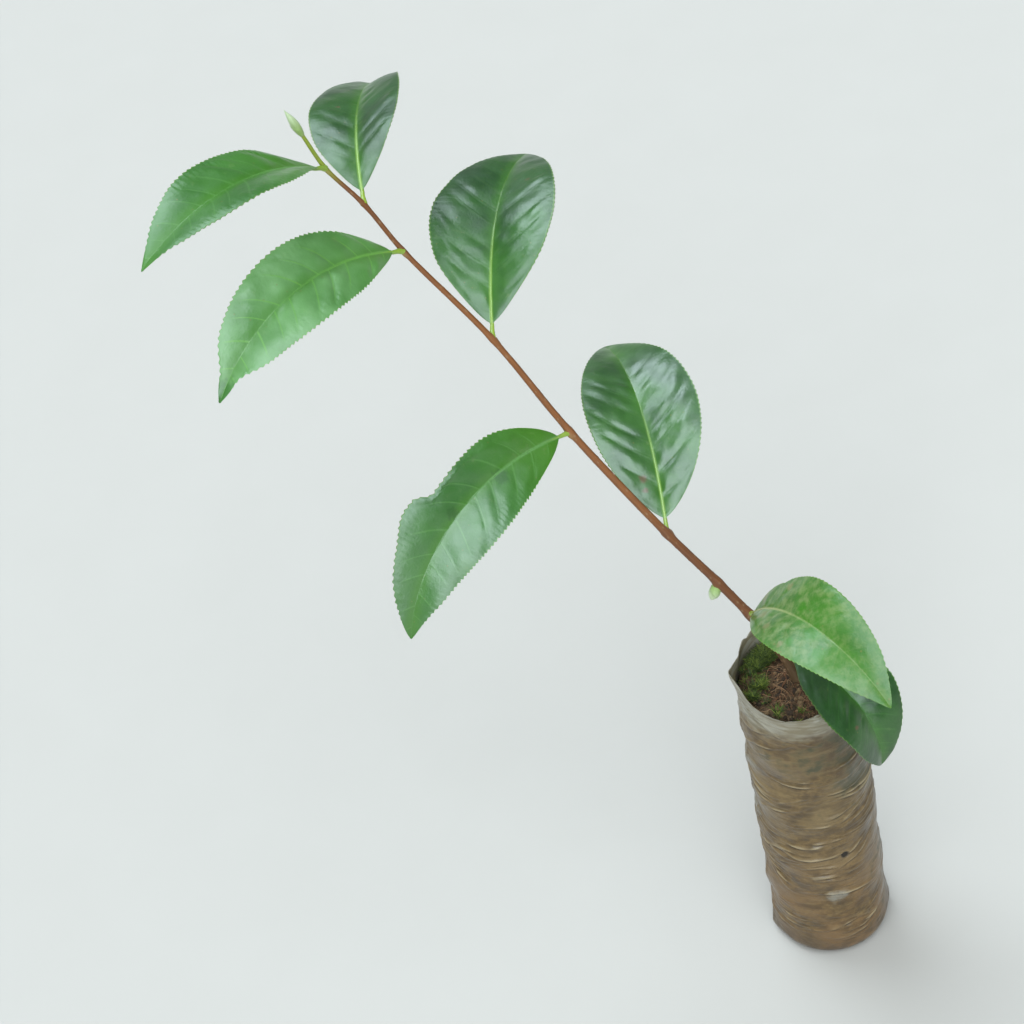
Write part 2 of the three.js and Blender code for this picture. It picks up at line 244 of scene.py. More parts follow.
def grid_part(points, values, window=WHOLE_MAP, around=False, flip=False):
    """A sheet of points, laid out in its window of the piece's map"""
    rows, columns = points.shape[:2]
    index = np.arange(rows * columns).reshape(rows, columns)
    if around:
        index = np.concatenate([index, index[:, :1]], axis=1)
    left, bottom, right, top = window
    up, along = np.meshgrid(np.linspace(0, 1, index.shape[1]), np.linspace(0, 1, rows))
    places = np.stack([left + (right - left) * along, bottom + (top - bottom) * up], axis=-1)

    def face_corners(grid):
        loop = [grid[:-1, :-1], grid[:-1, 1:], grid[1:, 1:], grid[1:, :-1]]
        return np.stack(loop[::-1] if flip else loop, axis=2)

    faces = face_corners(index).reshape(-1, 4)
    corners = face_corners(places).reshape(-1, 4, 2)
    flat_values = {name: np.broadcast_to(value, (rows, columns)).ravel() for name, value in values.items()}
    return Part(points.reshape(-1, 3), faces, corners, flat_values)


def make_piece(name, node, material, parts):
    """One object from its parts, with seams welded, that stands for a node of the solids"""
    mesh = bpy.data.meshes.new(name)
    starts = np.cumsum([0] + [len(part.points) for part in parts[:-1]])
    points = np.concatenate([part.points for part in parts]) * MM
    faces = np.concatenate([part.faces + start for part, start in zip(parts, starts)])
    mesh.from_pydata(points.tolist(), [], faces.tolist())
    places = np.concatenate([part.corners.reshape(-1, 2) for part in parts])
    mesh.uv_layers.new(name="OFBake").data.foreach_set("uv", places.ravel())
    for key in parts[0].values:
        values = np.concatenate([part.values[key] for part in parts]).astype(np.float32)
        mesh.attributes.new(key, "FLOAT", "POINT").data.foreach_set("value", values)
    weld(mesh)
    place_piece(name, mesh, node, [material])


def weld(mesh, distance=1e-3 * MM):
    work = bmesh.new()
    work.from_mesh(mesh)
    bmesh.ops.remove_doubles(work, verts=work.verts, dist=distance)
    work.to_mesh(mesh)
    work.free()


def add_object(name, data):
    thing = bpy.data.objects.new(name, data)
    bpy.context.scene.collection.objects.link(thing)
    return thing


def place_piece(name, mesh, node, materials):
    mesh.polygons.foreach_set("use_smooth", [True] * len(mesh.polygons))
    for material in materials:
        mesh.materials.append(material)
    mesh.update()
    thing = add_object(name, mesh)
    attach(thing, "root")
    if node:
        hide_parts(node)


class Scatter:
    """Many small shapes that become one object, each one with a tint dealt out to it"""

    def __init__(self):
        self.points, self.faces, self.shades = [], [], []
        self.count = 0

    def add(self, points, faces, shade):
        self.points.append(points)
        self.faces.extend([corner + self.count for corner in face] for face in faces)
        self.shades.extend([shade] * len(faces))
        self.count += len(points)

    def make(self, name, materials):
        mesh = bpy.data.meshes.new(name)
        mesh.from_pydata((np.concatenate(self.points) * MM).tolist(), [], self.faces)
        place_piece(name, mesh, None, materials)
        mesh.polygons.foreach_set("material_index", np.array(self.shades, dtype=np.int32))


def tinted_materials(name, tints, roughness, grain, depth):
    """One material for each (dark, light) tint, finely speckled between the two"""
    materials = []
    for number, tint in enumerate(tints, start=1):
        shader = Shader(f"{name}-{number}")
        tone = shader.noise(grain)
        shader.set(Base_Color=shader.mix(shader.band(tone, 0.35, 0.65), *tint), Roughness=roughness)
        shader.bump(tone, depth, 0.6)
        materials.append(shader.material)
    return materials


def tube(centres, first, second, radii, sides, flatten=1.0):
    """Rings of points round a line; flatten squashes the side that second points to. Its ends are closed"""
    angle = full_turn(sides)
    rise = np.sin(angle) * np.where(np.sin(angle) > 0, flatten, 1.0)
    reach = radii if np.ndim(radii) == 2 else radii[:, None]
    spread = first[:, None] * (reach * np.cos(angle))[..., None] + second[:, None] * (reach * rise)[..., None]
    start = np.repeat(centres[:1, None], sides, axis=1)
    end = np.repeat(centres[-1:, None], sides, axis=1)
    return np.concatenate([start, centres[:, None] + spread, end])


def with_ends(values):
    """Values for the rings of a tube, with its two closing points"""
    return np.concatenate([values[:1], values, values[-1:]])


# Materials
class Shader:
    """A material's nodes, made with short calls that take numbers, colours or the outputs of other nodes. A
    grain is the size of a pattern's lumps in millimetres, one size or one for each axis"""

    def __init__(self, name):
        self.material = bpy.data.materials.new(name)
        self.material.use_nodes = True
        self.tree = self.material.node_tree
        self.surface = self.tree.nodes["Principled BSDF"]
        self.coordinates = self.node("TexCoord").outputs["Object"]

    def node(self, kind):
        return self.tree.nodes.new("ShaderNode" + kind)

    def put(self, socket, value):
        if isinstance(value, bpy.types.NodeSocket):
            self.tree.links.new(value, socket)
        elif isinstance(value, tuple) and len(value) < len(socket.default_value):
            socket.default_value = (*value, 1.0)
        else:
            socket.default_value = value

    def fill(self, node, *values, **named):
        """Gives values to a node's first inputs, and named ones to the inputs of those names"""
        for socket, value in zip(node.inputs, values):
            self.put(socket, value)
        for name, value in named.items():
            self.put(node.inputs[name.replace("_", " ")], value)
        return node.outputs[0]

    def set(self, **inputs):
        self.fill(self.surface, **inputs)

    def math(self, operation, *values):
        node = self.node("Math")
        node.operation = operation
        return self.fill(node, *values)

    def times(self, first, second):
        return self.math("MULTIPLY", first, second)

    def plus(self, first, second):
        return self.math("ADD", first, second)

    def most(self, first, second):
        return self.math("MAXIMUM", first, second)

    def band(self, value, low, high, start=0.0, end=1.0):
        """start below low, end above high and smooth between them"""
        node = self.node("MapRange")
        node.interpolation_type = "SMOOTHSTEP"
        return self.fill(node, value, low, high, start, end)

    def mix(self, share, first, second):
        node = self.node("Mix")
        node.data_type = "RGBA"
        self.put(node.inputs["Factor"], share)
        self.put(node.inputs[6], first)
        self.put(node.inputs[7], second)
        return node.outputs[2]

    def layered(self, colour, *layers):
        """A colour with other colours laid over it in turn, each one given as (share, colour)"""
        for share, upper in layers:
            colour = self.mix(share, colour, upper)
        return colour

    def value(self, name):
        node = self.node("Attribute")
        node.attribute_name = name
        return node.outputs["Fac"]

    def joined(self, *places):
        return self.fill(self.node("CombineXYZ"), *places)

    def places(self, grain):
        """The object's coordinates counted in lumps, or the places themselves where a node gives them"""
        if isinstance(grain, bpy.types.NodeSocket):
            return grain
        node = self.node("VectorMath")
        node.operation = "DIVIDE"
        return self.fill(node, self.coordinates, [float(size) * MM for size in np.broadcast_to(grain, 3)])

    def noise(self, grain, detail=3, roughness=0.55, distortion=0.0):
        node, places = self.node("TexNoise"), self.places(grain)
        self.fill(node, Vector=places, Scale=1.0, Detail=detail, Roughness=roughness, Distortion=distortion)
        return node.outputs["Fac"]

    def cells(self, grain, feature="F1"):
        node = self.node("TexVoronoi")
        node.feature = feature
        self.fill(node, Vector=self.places(grain), Scale=1.0)
        return node.outputs["Distance"]

    def bump(self, height, depth, strength):
        """height runs from 0 to 1, and depth is that full height in millimetres"""
        self.set(Normal=self.fill(self.node("Bump"), Height=height, Distance=depth * MM, Strength=strength))


# The stem's middle line
def stem_nodes():
    steps = [heading(180, 90 - row["lean"]) * row["internode"] for row in SHOOT]
    return UP * (SOIL["level"] + GAP) + np.concatenate([np.zeros((1, 3)), np.cumsum(steps, axis=0)])


def smooth_line(nodes, per_span):
    """A centripetal curve through the nodes, with per_span points for each internode"""
    before = 2 * nodes[0] - nodes[1]
    after = 2 * nodes[-1] - nodes[-2]
    guide = np.concatenate([[before], nodes, [after]])
    share = np.arange(per_span)[:, None] / per_span
    spans = []
    for p0, p1, p2, p3 in zip(guide, guide[1:], guide[2:], guide[3:]):
        t0, t1, t2 = [np.sqrt(np.linalg.norm(end - start)) for start, end in ((p0, p1), (p1, p2), (p2, p3))]
        leave = ((p1 - p0) / t0 - (p2 - p0) / (t0 + t1) + (p2 - p1) / t1) * t1
        arrive = ((p2 - p1) / t1 - (p3 - p1) / (t1 + t2) + (p3 - p2) / t2) * t1
        square = 3 * (p2 - p1) - 2 * leave - arrive
        cube = 2 * (p1 - p2) + leave + arrive
        spans.append(p1 + leave * share + square * share**2 + cube * share**3)
    return np.concatenate([*spans, nodes[-1:]])


NODES = stem_nodes()
PER_SPAN = 80
STEM_LINE = smooth_line(NODES, PER_SPAN)
STEM_WAY = np.concatenate([[0], np.cumsum(np.linalg.norm(np.diff(STEM_LINE, axis=0), axis=1))])
STEM_LENGTH = STEM_WAY[-1]
KNUCKLES = STEM_WAY[PER_SPAN:-1:PER_SPAN]


def on_stem(distance):
    """Centres and directions at distances along the stem"""
    slope = np.gradient(STEM_LINE, STEM_WAY, axis=0)
    centre, ahead = [
        np.stack([np.interp(distance, STEM_WAY, line[:, axis]) for axis in range(3)], axis=-1)
        for line in (STEM_LINE, slope)
    ]
    return centre, ahead / np.linalg.norm(ahead, axis=-1, keepdims=True)


def stem_radius(distance):
    taper = STEM["foot"] + (STEM["tip"] - STEM["foot"]) * distance / STEM_LENGTH
    flare = STEM["flare"] * np.exp(-np.maximum(distance, 0) / STEM["flare_length"])
    swollen = sum(bell(distance - place, STEM["knuckle_length"]) for place in KNUCKLES)
    return taper + flare + STEM["knuckle"] * swollen * taper / STEM["foot"]


# The bark: long shallow ribs, fibres, corky dots, and a ledge under each petiole
BARK = {
    "sides": 30, "step": 0.5, "sunk": 3, "ribs": 0.07, "rib_count": 5, "rib_twist": 60,
    "fibre": 0.10, "fibre_spread": 1.8, "fibre_length": 9,
}
DOTS = {
    "count": 170, "height": 0.2, "start": 4, "end": 30, "least": 0.6, "most": 1.2, "long": 0.75, "wide": 0.38,
    "reach": 4,
}
CUSHION = {"height": 0.7, "below": 1.2, "length": 2.4}
# Dark and light tints, and where along the stem the bright, the dusty foot and the green shoot begin and end
BARK_TINTS = {
    "red": ((0.085, 0.028, 0.010), (0.20, 0.070, 0.023)),
    "bright": ((0.165, 0.052, 0.014), (0.31, 0.118, 0.030)),
    "foot": ((0.08, 0.05, 0.025), (0.18, 0.12, 0.062)),
    "green": ((0.17, 0.215, 0.018), (0.29, 0.34, 0.04)),
}
BRIGHT_FROM, BRIGHT_TO, FOOT_TO = (95, 150), (260, 360), (4, 46)
GREEN_FROM = (STEM_LENGTH - 34, STEM_LENGTH - 16)
DARK_BARK = (0.10, 0.05, 0.025)
DOT_TAN = (0.30, 0.19, 0.10)
LEDGE_TAN = (0.33, 0.24, 0.10)


def bark_dots(distance, angle):
    """Small raised dots at seeded places, longer than they are wide"""
    chance = np.random.default_rng(11)
    places = chance.uniform(DOTS["start"], STEM_LENGTH - DOTS["end"], DOTS["count"])
    turns = chance.uniform(0, 2 * np.pi, DOTS["count"])
    sizes = chance.uniform(DOTS["least"], DOTS["most"], DOTS["count"])
    raised = np.zeros((len(distance), len(angle)))
    radius = stem_radius(distance)[:, None]
    for place, turn, size in zip(places, turns, sizes):
        near = np.abs(distance - place) < DOTS["reach"]
        sideways = wrapped(angle[None] - turn) * radius[near]
        lengthways = (distance[near] - place)[:, None]
        dot = bell(lengthways, DOTS["long"] * size) * bell(sideways, DOTS["wide"] * size)
        raised[near] = np.maximum(raised[near], dot)
    return raised


def leaf_cushions(distance, angle, first, second):
    """How much the stem swells under each petiole, on the side where the petiole stands"""
    cushion = np.zeros((len(distance), len(angle)))
    for row, place in zip(SHOOT, KNUCKLES):
        growth = row if "turn" in row else SIDE_BUD
        ahead = heading(growth["turn"], growth["rise"])
        at = int(np.argmin(np.abs(distance - place)))
        toward = np.arctan2(second[at] @ ahead, first[at] @ ahead)
        facing = np.clip(np.cos(angle - toward), 0, 1) ** 2
        cushion += bell(distance - place + CUSHION["below"], CUSHION["length"])[:, None] * facing[None]
    return cushion


def bark_material():
    shader = Shader("bark")
    way, turn = shader.value("way"), shader.value("turn")
    streaks = shader.noise(shader.joined(shader.times(way, 0.09), turn), 4)
    tint = {name: shader.mix(streaks, *tints) for name, tints in BARK_TINTS.items()}
    middle = shader.times(shader.band(way, *BRIGHT_FROM), shader.band(way, *BRIGHT_TO, 1.0, 0.35))
    colour = shader.layered(
        tint["red"],
        (shader.times(middle, 0.75), tint["bright"]),
        (shader.band(way, *FOOT_TO, 0.85, 0.0), tint["foot"]),
        (shader.band(way, *GREEN_FROM), tint["green"]),
    )
    colour = shader.layered(
        colour,
        (shader.band(shader.noise((9, 9, 14), 2), 0.52, 0.68, 0.0, 0.5), shader.mix(0.5, colour, DARK_BARK)),
        (shader.times(shader.value("dot"), 0.65), DOT_TAN),
        (shader.times(shader.value("cushion"), 0.45), LEDGE_TAN),
    )
    shader.set(Base_Color=colour, Roughness=shader.band(streaks, 0.2, 0.8, 0.42, 0.66))
    shader.set(Specular_IOR_Level=0.35, Coat_Weight=0.05)
    shader.bump(shader.noise(shader.joined(shader.times(way, 0.5), turn), 5), 0.12, 0.7)
    return shader.material


def make_stem():
    distance = np.append(np.arange(-BARK["sunk"], STEM_LENGTH, BARK["step"]), STEM_LENGTH)
    centre, ahead = on_stem(np.maximum(distance, 0))
    centre = centre + np.minimum(distance, 0)[:, None] * UP
    first, second = across_to(ahead, BACK)
    angle = full_turn(BARK["sides"])
    dots = bark_dots(distance, angle)
    cushion = leaf_cushions(distance, angle, first, second)
    spread, length = BARK["fibre_spread"], BARK["fibre_length"]
    spots = points_at(spread * np.cos(angle), spread * np.sin(angle), distance[:, None] / length)
    ribs = BARK["ribs"] * np.cos(BARK["rib_count"] * angle[None] + distance[:, None] / BARK["rib_twist"])
    relief = ribs + BARK["fibre"] * noise_at(spots, 1.0) + DOTS["height"] * dots + CUSHION["height"] * cushion
    radius = stem_radius(distance)
    radii = radius[:, None] + relief * (radius / STEM["foot"])[:, None]
    values = {
        "way": with_ends(distance)[:, None],
        "turn": 3 * np.abs(angle - np.pi)[None],
        "dot": with_ends(dots),
        "cushion": with_ends(cushion),
    }
    part = grid_part(tube(centre, first, second, radii, BARK["sides"]), values, around=True)
    make_piece("stem-bark", "stem", bark_material(), [part])


# The leaves: u runs along the midrib from 0 to 1, and v across the blade from -1 to 1
def midrib(leaf, base, steps):
    """The blade's middle line: its points, and the directions ahead, to its side and out of its top face"""
    u = np.linspace(0, 1, steps + 1)
    turn = leaf["turn"] + leaf["sweep"] * u
    ahead = heading(turn, leaf["rise"] - leaf["droop"] * u ** BLADE["droop_power"])
    level = heading(turn + 90, 0)
    up = np.cross(ahead, level)
    roll = np.radians(leaf["roll"])
    side = level * np.cos(roll) + up * np.sin(roll)
    moves = (ahead[:-1] + ahead[1:]) * leaf["length"] / steps / 2
    points = base + np.concatenate([np.zeros((1, 3)), np.cumsum(moves, axis=0)])
    return u, points, ahead, side, np.cross(ahead, side)


def half_width(leaf, u):
    """Half the blade's width, with a wedge at its foot and a drawn-out point"""
    share = np.sin(np.pi * u ** BLADE["widest_power"]) ** BLADE["round_power"]
    share = share * (1 - leaf["wedge"] * (1 - step_up(u, 0, BLADE["foot_share"])))
    share = share * (1 - leaf["point"] * step_up(u, BLADE["tip_from"], 1.0))
    blunt = np.sqrt(np.clip(1 - ((u - BLADE["cap_from"]) / BLADE["cap_length"]) ** 2, 0.01, 1))
    cap = np.where(u > BLADE["cap_from"], blunt, 1.0)
    return np.maximum(BLADE["tip_width"], leaf["width"] / 2 * share) * cap


def vault(reach, u, v):
    """Each half of the blade rises from the midrib and bows over, and its margin ripples"""
    out = np.abs(v)
    fold = np.sin(np.radians(BLADE["fold"])) * ((1 + BLADE["bow"]) * out - BLADE["bow"] * out**3)
    ripple = np.sin(2 * np.pi * BLADE["ripples"] * u) * np.sin(np.pi * u)
    return reach * fold + BLADE["ripple"] * v * out * ripple


def vein_pitch(leaf):
    return leaf["length"] / (VEINS["pairs"] + 1.5)


def vein_count(leaf, reach, u, v, seed):
    """Whole numbers lie on the side veins, which leave the midrib by turns and bend towards the tip"""
    out = np.abs(v) * reach
    back = VEINS["slope"] * out + VEINS["curve"] * out**2 / (leaf["width"] / 2)
    count = (u * leaf["length"] - back) / vein_pitch(leaf) + 0.5 * (v > 0)
    return count + VEINS["waver"] * np.sin(VEINS["waver_beat"] * count + seed)


def margin_shift(leaf, looks, u, side):
    """How far teeth stand out of the margin, less what is bitten or torn out of it"""
    along = u * leaf["length"]
    drift = TEETH["drift"] * np.sin(along / TEETH["drift_length"])
    beat = (along / TEETH["pitch"] + drift + TEETH["side_step"] * side) % 1
    tooth = np.where(beat < TEETH["rise"], beat / TEETH["rise"], (1 - beat) / TEETH["drop"])
    toothed = step_up(u, TEETH["from"], TEETH["from"] + TEETH["fade_in"])
    toothed = toothed * step_down(u, TEETH["to"] - TEETH["fade_out"], TEETH["to"])
    lost = sum(
        depth * bell(along - share * leaf["length"], width)
        for share, bite_side, depth, width in looks.get("bites", [])
        if bite_side == side
    )
    torn = looks.get("shoulder")
    if torn and torn["side"] == side:
        sinking = step_up(u, torn["start"], torn["deep"])
        lost = lost + torn["depth"] * sinking * step_down(u, torn["deep"], torn["end"])
    quick, slow = np.sin(TEETH["quick_beat"] * along + 4 * side), np.sin(TEETH["slow_beat"] * along)
    uneven = 1 + TEETH["uneven"] * quick * slow
    return TEETH["depth"] * looks.get("teeth", 1.0) * uneven * (tooth - 0.5) * toothed - lost


def blade_shares():
    """Places across the blade, closest together at the midrib and at the margins"""
    half = [0.015, 0.04, 0.08, *np.linspace(0.12, 0.91, 19), 0.95, 0.98, 1.0]
    return np.array([-share for share in reversed(half)] + [0.0] + half)


def blade_relief(looks, count, u, v, flat):
    """Uneven bulges between the sunken side veins, flatter towards the tip and the margin"""
    out = np.abs(v)
    inside = step_up(out, 0.0, 0.2) * step_down(out, 0.7, 1.0)
    inside = inside * step_up(u, 0.02, 0.16) * step_down(u, 0.42, 0.86)
    uneven = BULGES["middle"] + BULGES["spread"] * noise_at(flat, BULGES["grain"], BULGES["seed"])
    uneven = np.clip(uneven, BULGES["least"], BULGES["most"])
    rounded = np.abs(np.sin(np.pi * count)) ** BULGES["roundness"] - BULGES["sunk"]
    return inside * looks["bulge"] * uneven * rounded


def blade_waves(flat, out):
    height, size = MARGIN_WAVE
    wave = height * noise_at(flat, size) * out**1.5
    for height, size in FACE_WAVES:
        wave = wave + height * noise_at(flat, size)
    return wave


def stains(leaf, marks, reach, u, v):
    """1 in the middle of each mark, fading out raggedly at its radius"""
    along, sideways = u * leaf["length"], v * reach
    ragged = 1 + 0.5 * noise_at(points_at(along, sideways), 1.7)
    share = np.zeros(ragged.shape)
    for at, across, radius in marks:
        middle = across * half_width(leaf, np.array([at]))[0]
        away = np.hypot(along - at * leaf["length"], sideways - middle) * ragged
        share = np.maximum(share, step_down(away, 0.5 * radius, 1.3 * radius))
    return share


def blade_parts(leaf, looks, line, seed):
    """The blade's top face, its underside and the thin edge between them"""
    u, point, _, side, normal = line
    v = blade_shares()[None]
    u = u[:, None]
    out = np.abs(v)
    reach = half_width(leaf, u)
    shift = np.where(v > 0, margin_shift(leaf, looks, u, 1), margin_shift(leaf, looks, u, -1))
    fold = np.cos(np.radians(BLADE["fold"]))
    sideways = fold * reach * v + np.sign(v) * shift * step_up(out, 0.55, 1.0) * np.minimum(1, reach / 6)
    count = vein_count(leaf, reach, u, v, seed)
    flat = points_at(u * leaf["length"], v * reach, seed)
    height = vault(reach, u, v) + blade_relief(looks, count, u, v, flat) + blade_waves(flat, out)
    top = point[:, None] + side[:, None] * sideways[..., None] + normal[:, None] * height[..., None]
    thickness = BLADE_THICKNESS * (1 - 0.6 * out**3) * np.minimum(1, 0.4 + reach / 6)
    bottom = top - normal[:, None] * thickness[..., None]
    values = {
        "along": u * leaf["length"],
        "across": out * reach,
        "count": count,
        "out": out,
        "stain": stains(leaf, looks["stains"], reach, u, v),
        "vivid": stains(leaf, looks.get("vivid", []), reach, u, v),
        "under": 0.0,
        "rib": 0.0,
    }
    faces = [
        grid_part(top, values, TOP_FACE),
        grid_part(bottom, {**values, "under": 1.0}, UNDERSIDE, flip=True),
    ]
    return faces + margin_parts(top, bottom, values)


def margin_parts(top, bottom, values):
    """The thin strips that close the blade along both margins and at both ends"""
    full = {name: np.broadcast_to(value, top.shape[:2]) for name, value in values.items()}
    whole = slice(None)
    edges = [
        ((whole, 0), MARGINS[0], False),
        ((whole, -1), MARGINS[1], True),
        ((0, whole), ENDS[0], True),
        ((-1, whole), ENDS[1], False),
    ]
    parts = []
    for pick, window, flip in edges:
        strip = np.stack([top[pick], bottom[pick]], axis=1)
        along = {name: np.repeat(value[pick][:, None], 2, axis=1) for name, value in full.items()}
        parts.append(grid_part(strip, along, window, flip=flip))
    return parts


def petiole_part(leaf, node, line):
    """The petiole, which runs on under the blade as its midrib and stands a little proud on top"""
    u, point, ahead, side, normal = line
    length = PETIOLE["length"]
    stalk = np.linspace(0, length, STALK["steps"])[:-1]
    swell = STALK["swell"] * bell(stalk, STALK["swell_length"])
    stalk_radius = PETIOLE["neck"] + STALK["thicker"] * (1 - stalk / length) + swell
    taper = PETIOLE["neck"] + (PETIOLE["end"] - PETIOLE["neck"]) * u / PETIOLE["rib_share"]
    ending = np.minimum(1, (STALK["rib_end"] - u) * STALK["rib_fade"])
    rib_radius = np.maximum(taper, STALK["rib"] - STALK["rib_taper"] * u) * ending
    keep = u < BLADE["cap_from"]
    radii = np.concatenate([stalk_radius, rib_radius[keep]])
    sinking = np.concatenate([step_up(stalk, STALK["sunk_from"], length), np.ones(keep.sum())])

    def along_line(directions):
        return np.concatenate([np.repeat(directions[:1], len(stalk), axis=0), directions[keep]])

    centres = np.concatenate([node + stalk[:, None] * ahead[:1], point[keep]])
    centres = centres - along_line(normal) * (STALK["sunk"] * sinking * radii)[:, None]
    sides = along_line(side), along_line(normal)
    rings = tube(centres, *sides, radii, STALK["sides"], flatten=STALK["flatten"])
    along = with_ends(np.concatenate([stalk - length, u[keep] * leaf["length"]]))[:, None]
    flat = dict.fromkeys(("across", "out", "stain", "vivid", "under"), 0.0)
    return grid_part(rings, {"along": along, "count": 0.5, "rib": 1.0, **flat}, RIB_STRIP, around=True)


def nearest_vein(shader, leaf, offset):
    """Distance in millimetres to the nearest side vein, or with offset 0.5 to the line between two of them"""
    count = shader.plus(shader.value("count"), offset)
    away = shader.math("ABSOLUTE", shader.math("SUBTRACT", count, shader.math("ROUND", count)))
    return shader.times(away, vein_pitch(leaf))


def blade_colour(shader, looks, leaf, along, across):
    """The green of the blade: patchy, fresher at its foot and beside the midrib, with mottling and specks,
    and on some leaves painted shade towards the tip
    """
    length, mottle = leaf["length"], looks["mottle"]
    soft = shader.noise(4.4, 4, 0.6)
    pale = shader.band(soft, 0.60 - 0.28 * mottle, 0.80 - 0.12 * mottle, 0.0, 0.15 + 0.45 * mottle)
    nearer = shader.band(along, 0.35 * length, 0.75 * length, 1.0, 0.5)
    return shader.layered(
        shader.mix(shader.band(shader.noise(24), 0.3, 0.7), looks["dark"], looks["light"]),
        # painted shade: the blade darkens towards its tip where a leaf's row asks for it
        (shader.band(along, 0.35 * length, 0.75 * length, 0.0, looks.get("shade_to_tip", 0.0)), SHADE_GREEN),
        (shader.band(along, 0.02 * length, 0.42 * length, looks["fresh"], 0.0), FRESH),
        (shader.band(across, 0.4, 5.5, 0.28 + 0.3 * looks["fresh"], 0.0), FRESH),
        (shader.times(pale, nearer), MOTTLE),
        (shader.times(shader.value("vivid"), 0.8), VIVID),
        (shader.band(shader.cells(5.5), 0.04 + 0.04 * mottle, 0.09 + 0.06 * mottle, 0.5, 0.0), SPECK),
    )


def rib_share(shader, rib, across, along, leaf):
    """1 on the midrib, fading into the blade beside it, thinner and greener towards the tip"""
    half = shader.band(along, 0, leaf["length"], 1.3, 0.45)
    beside = shader.math("SUBTRACT", 1.0, shader.math("DIVIDE", across, half))
    whole = shader.most(shader.times(rib, 0.8), shader.band(beside, 0.0, 0.9))
    return shader.times(whole, shader.band(along, 0.1 * leaf["length"], 0.6 * leaf["length"], 0.92, 0.14))


def leaf_material(name, looks, leaf):
    shader = Shader(name)
    along, across, out = shader.value("along"), shader.value("across"), shader.value("out")
    under, rib = shader.value("under"), shader.value("rib")
    to_vein, between_veins = nearest_vein(shader, leaf, 0.0), nearest_vein(shader, leaf, 0.5)
    net_place = shader.joined(shader.math("DIVIDE", along, 2.3), shader.math("DIVIDE", across, 1.9))
    network = shader.cells(net_place, "DISTANCE_TO_EDGE")
    vein = shader.band(to_vein, 0.1, 0.6, looks["veins"], 0.0)
    vein = shader.times(vein, shader.band(out, 0.5, 0.92, 1.0, 0.0))
    fine = shader.band(between_veins, 0.08, 0.3, 0.03, 0.0)
    fine = shader.times(fine, shader.band(out, 0.3, 0.6, 1.0, 0.0))
    fine = shader.most(fine, shader.band(network, 0.0, 0.09, 0.03, 0.0))
    stalk = shader.band(along, -PETIOLE["length"], 0.1 * leaf["length"], 0.9, 0.0)
    colour = shader.layered(
        blade_colour(shader, looks, leaf, along, across),
        (shader.most(vein, fine), looks["rib"]),
        (shader.band(out, 0.965, 0.995, 0.0, 0.4), LIME),
        (shader.times(shader.value("stain"), 0.75), looks["stain"]),
        (rib_share(shader, rib, across, along, leaf), looks["rib"]),
        (shader.times(stalk, rib), PETIOLE_GREEN),
        (shader.times(under, 0.9), shader.mix(vein, PALE_UNDERSIDE, PALE_VEIN)),
    )
    gloss = shader.band(shader.noise(7), 0.3, 0.75, 0.31, 0.44)
    shine = looks.get("shine", 1.0)
    shader.set(Base_Color=colour, Roughness=shader.plus(gloss, shader.times(under, 0.3)))
    shader.set(Specular_IOR_Level=min(1.0, 0.9 * shine), Coat_Weight=0.35 * shine, Coat_Roughness=0.28)
    pucker = shader.times(shader.band(network, 0.0, 0.35), shader.band(under, 0.0, 1.0, 0.2, 0.04))
    groove = shader.times(shader.band(to_vein, 0.0, 1.5), shader.band(out, 0.6, 0.95, 0.6, 0.0))
    flatter = shader.band(along, 0.4 * leaf["length"], 0.85 * leaf["length"], 1.0, 0.4)
    shader.bump(shader.plus(shader.times(groove, flatter), pucker), 0.2, 0.6)
    return shader.material


def make_leaf(number, leaf, looks, node):
    base = node + heading(leaf["turn"], leaf["rise"]) * PETIOLE["length"]
    line = midrib(leaf, base, LEAF_STEPS)
    parts = blade_parts(leaf, looks, line, seed=number * 3.7) + [petiole_part(leaf, node, line)]
    material = leaf_material(f"leaf-green-{number}", looks, leaf)
    make_piece(f"leaf-{number}-blade", f"leaf-{number}", material, parts)


def make_leaves():
    rows = [(row, node) for row, node in zip(SHOOT, NODES[1:]) if "turn" in row]
    for number, ((leaf, node), looks) in enumerate(zip(rows, LEAF_LOOKS), start=1):
        make_leaf(number, leaf, looks, node)


# The buds: a young leaf rolled round itself, with a lapped edge that winds up it
BUD = {"rings": 60, "sides": 40, "spacing": 0.9, "core": 0.92, "lap": 0.16, "rib": 0.02, "rib_count": 9}
BUD_HINT = np.array([[0, 1.0, 0.2]])
BUD_GREEN = ((0.17, 0.27, 0.05), (0.29, 0.40, 0.12))
BUD_PALE = ((0.36, 0.45, 0.23), (0.56, 0.63, 0.40))
BUD_SEAM = (0.16, 0.25, 0.06)
BUD_FOOT = (0.30, 0.26, 0.09)


def bud_part(bud, start, ahead, laps, bend):
    share = np.linspace(0, 1, BUD["rings"]) ** BUD["spacing"]
    belly = np.sin(np.pi * share ** bud["widest"]).clip(0, 1) ** bud["blunt"]
    radius = bud["foot"] * (1 - share) + (bud["radius"] - bud["foot"] / 2) * belly
    angle = full_turn(BUD["sides"])
    winding = (angle[None] / (2 * np.pi) + laps * share[:, None]) % 1
    lap = BUD["lap"] * winding * np.sin(np.pi * np.clip(share, 0.02, 0.98))[:, None]
    radii = radius[:, None] * (BUD["core"] + lap + BUD["rib"] * np.cos(BUD["rib_count"] * angle)[None])
    first, second = across_to(ahead[None], BUD_HINT)
    centres = start + ahead * (bud["length"] * share)[:, None] + first * (bend * share**2)[:, None]
    sides = [np.repeat(side, BUD["rings"], axis=0) for side in (first, second)]
    values = {"way": with_ends(share)[:, None], "lap": with_ends(winding)}
    return grid_part(tube(centres, *sides, radii, BUD["sides"]), values, around=True)


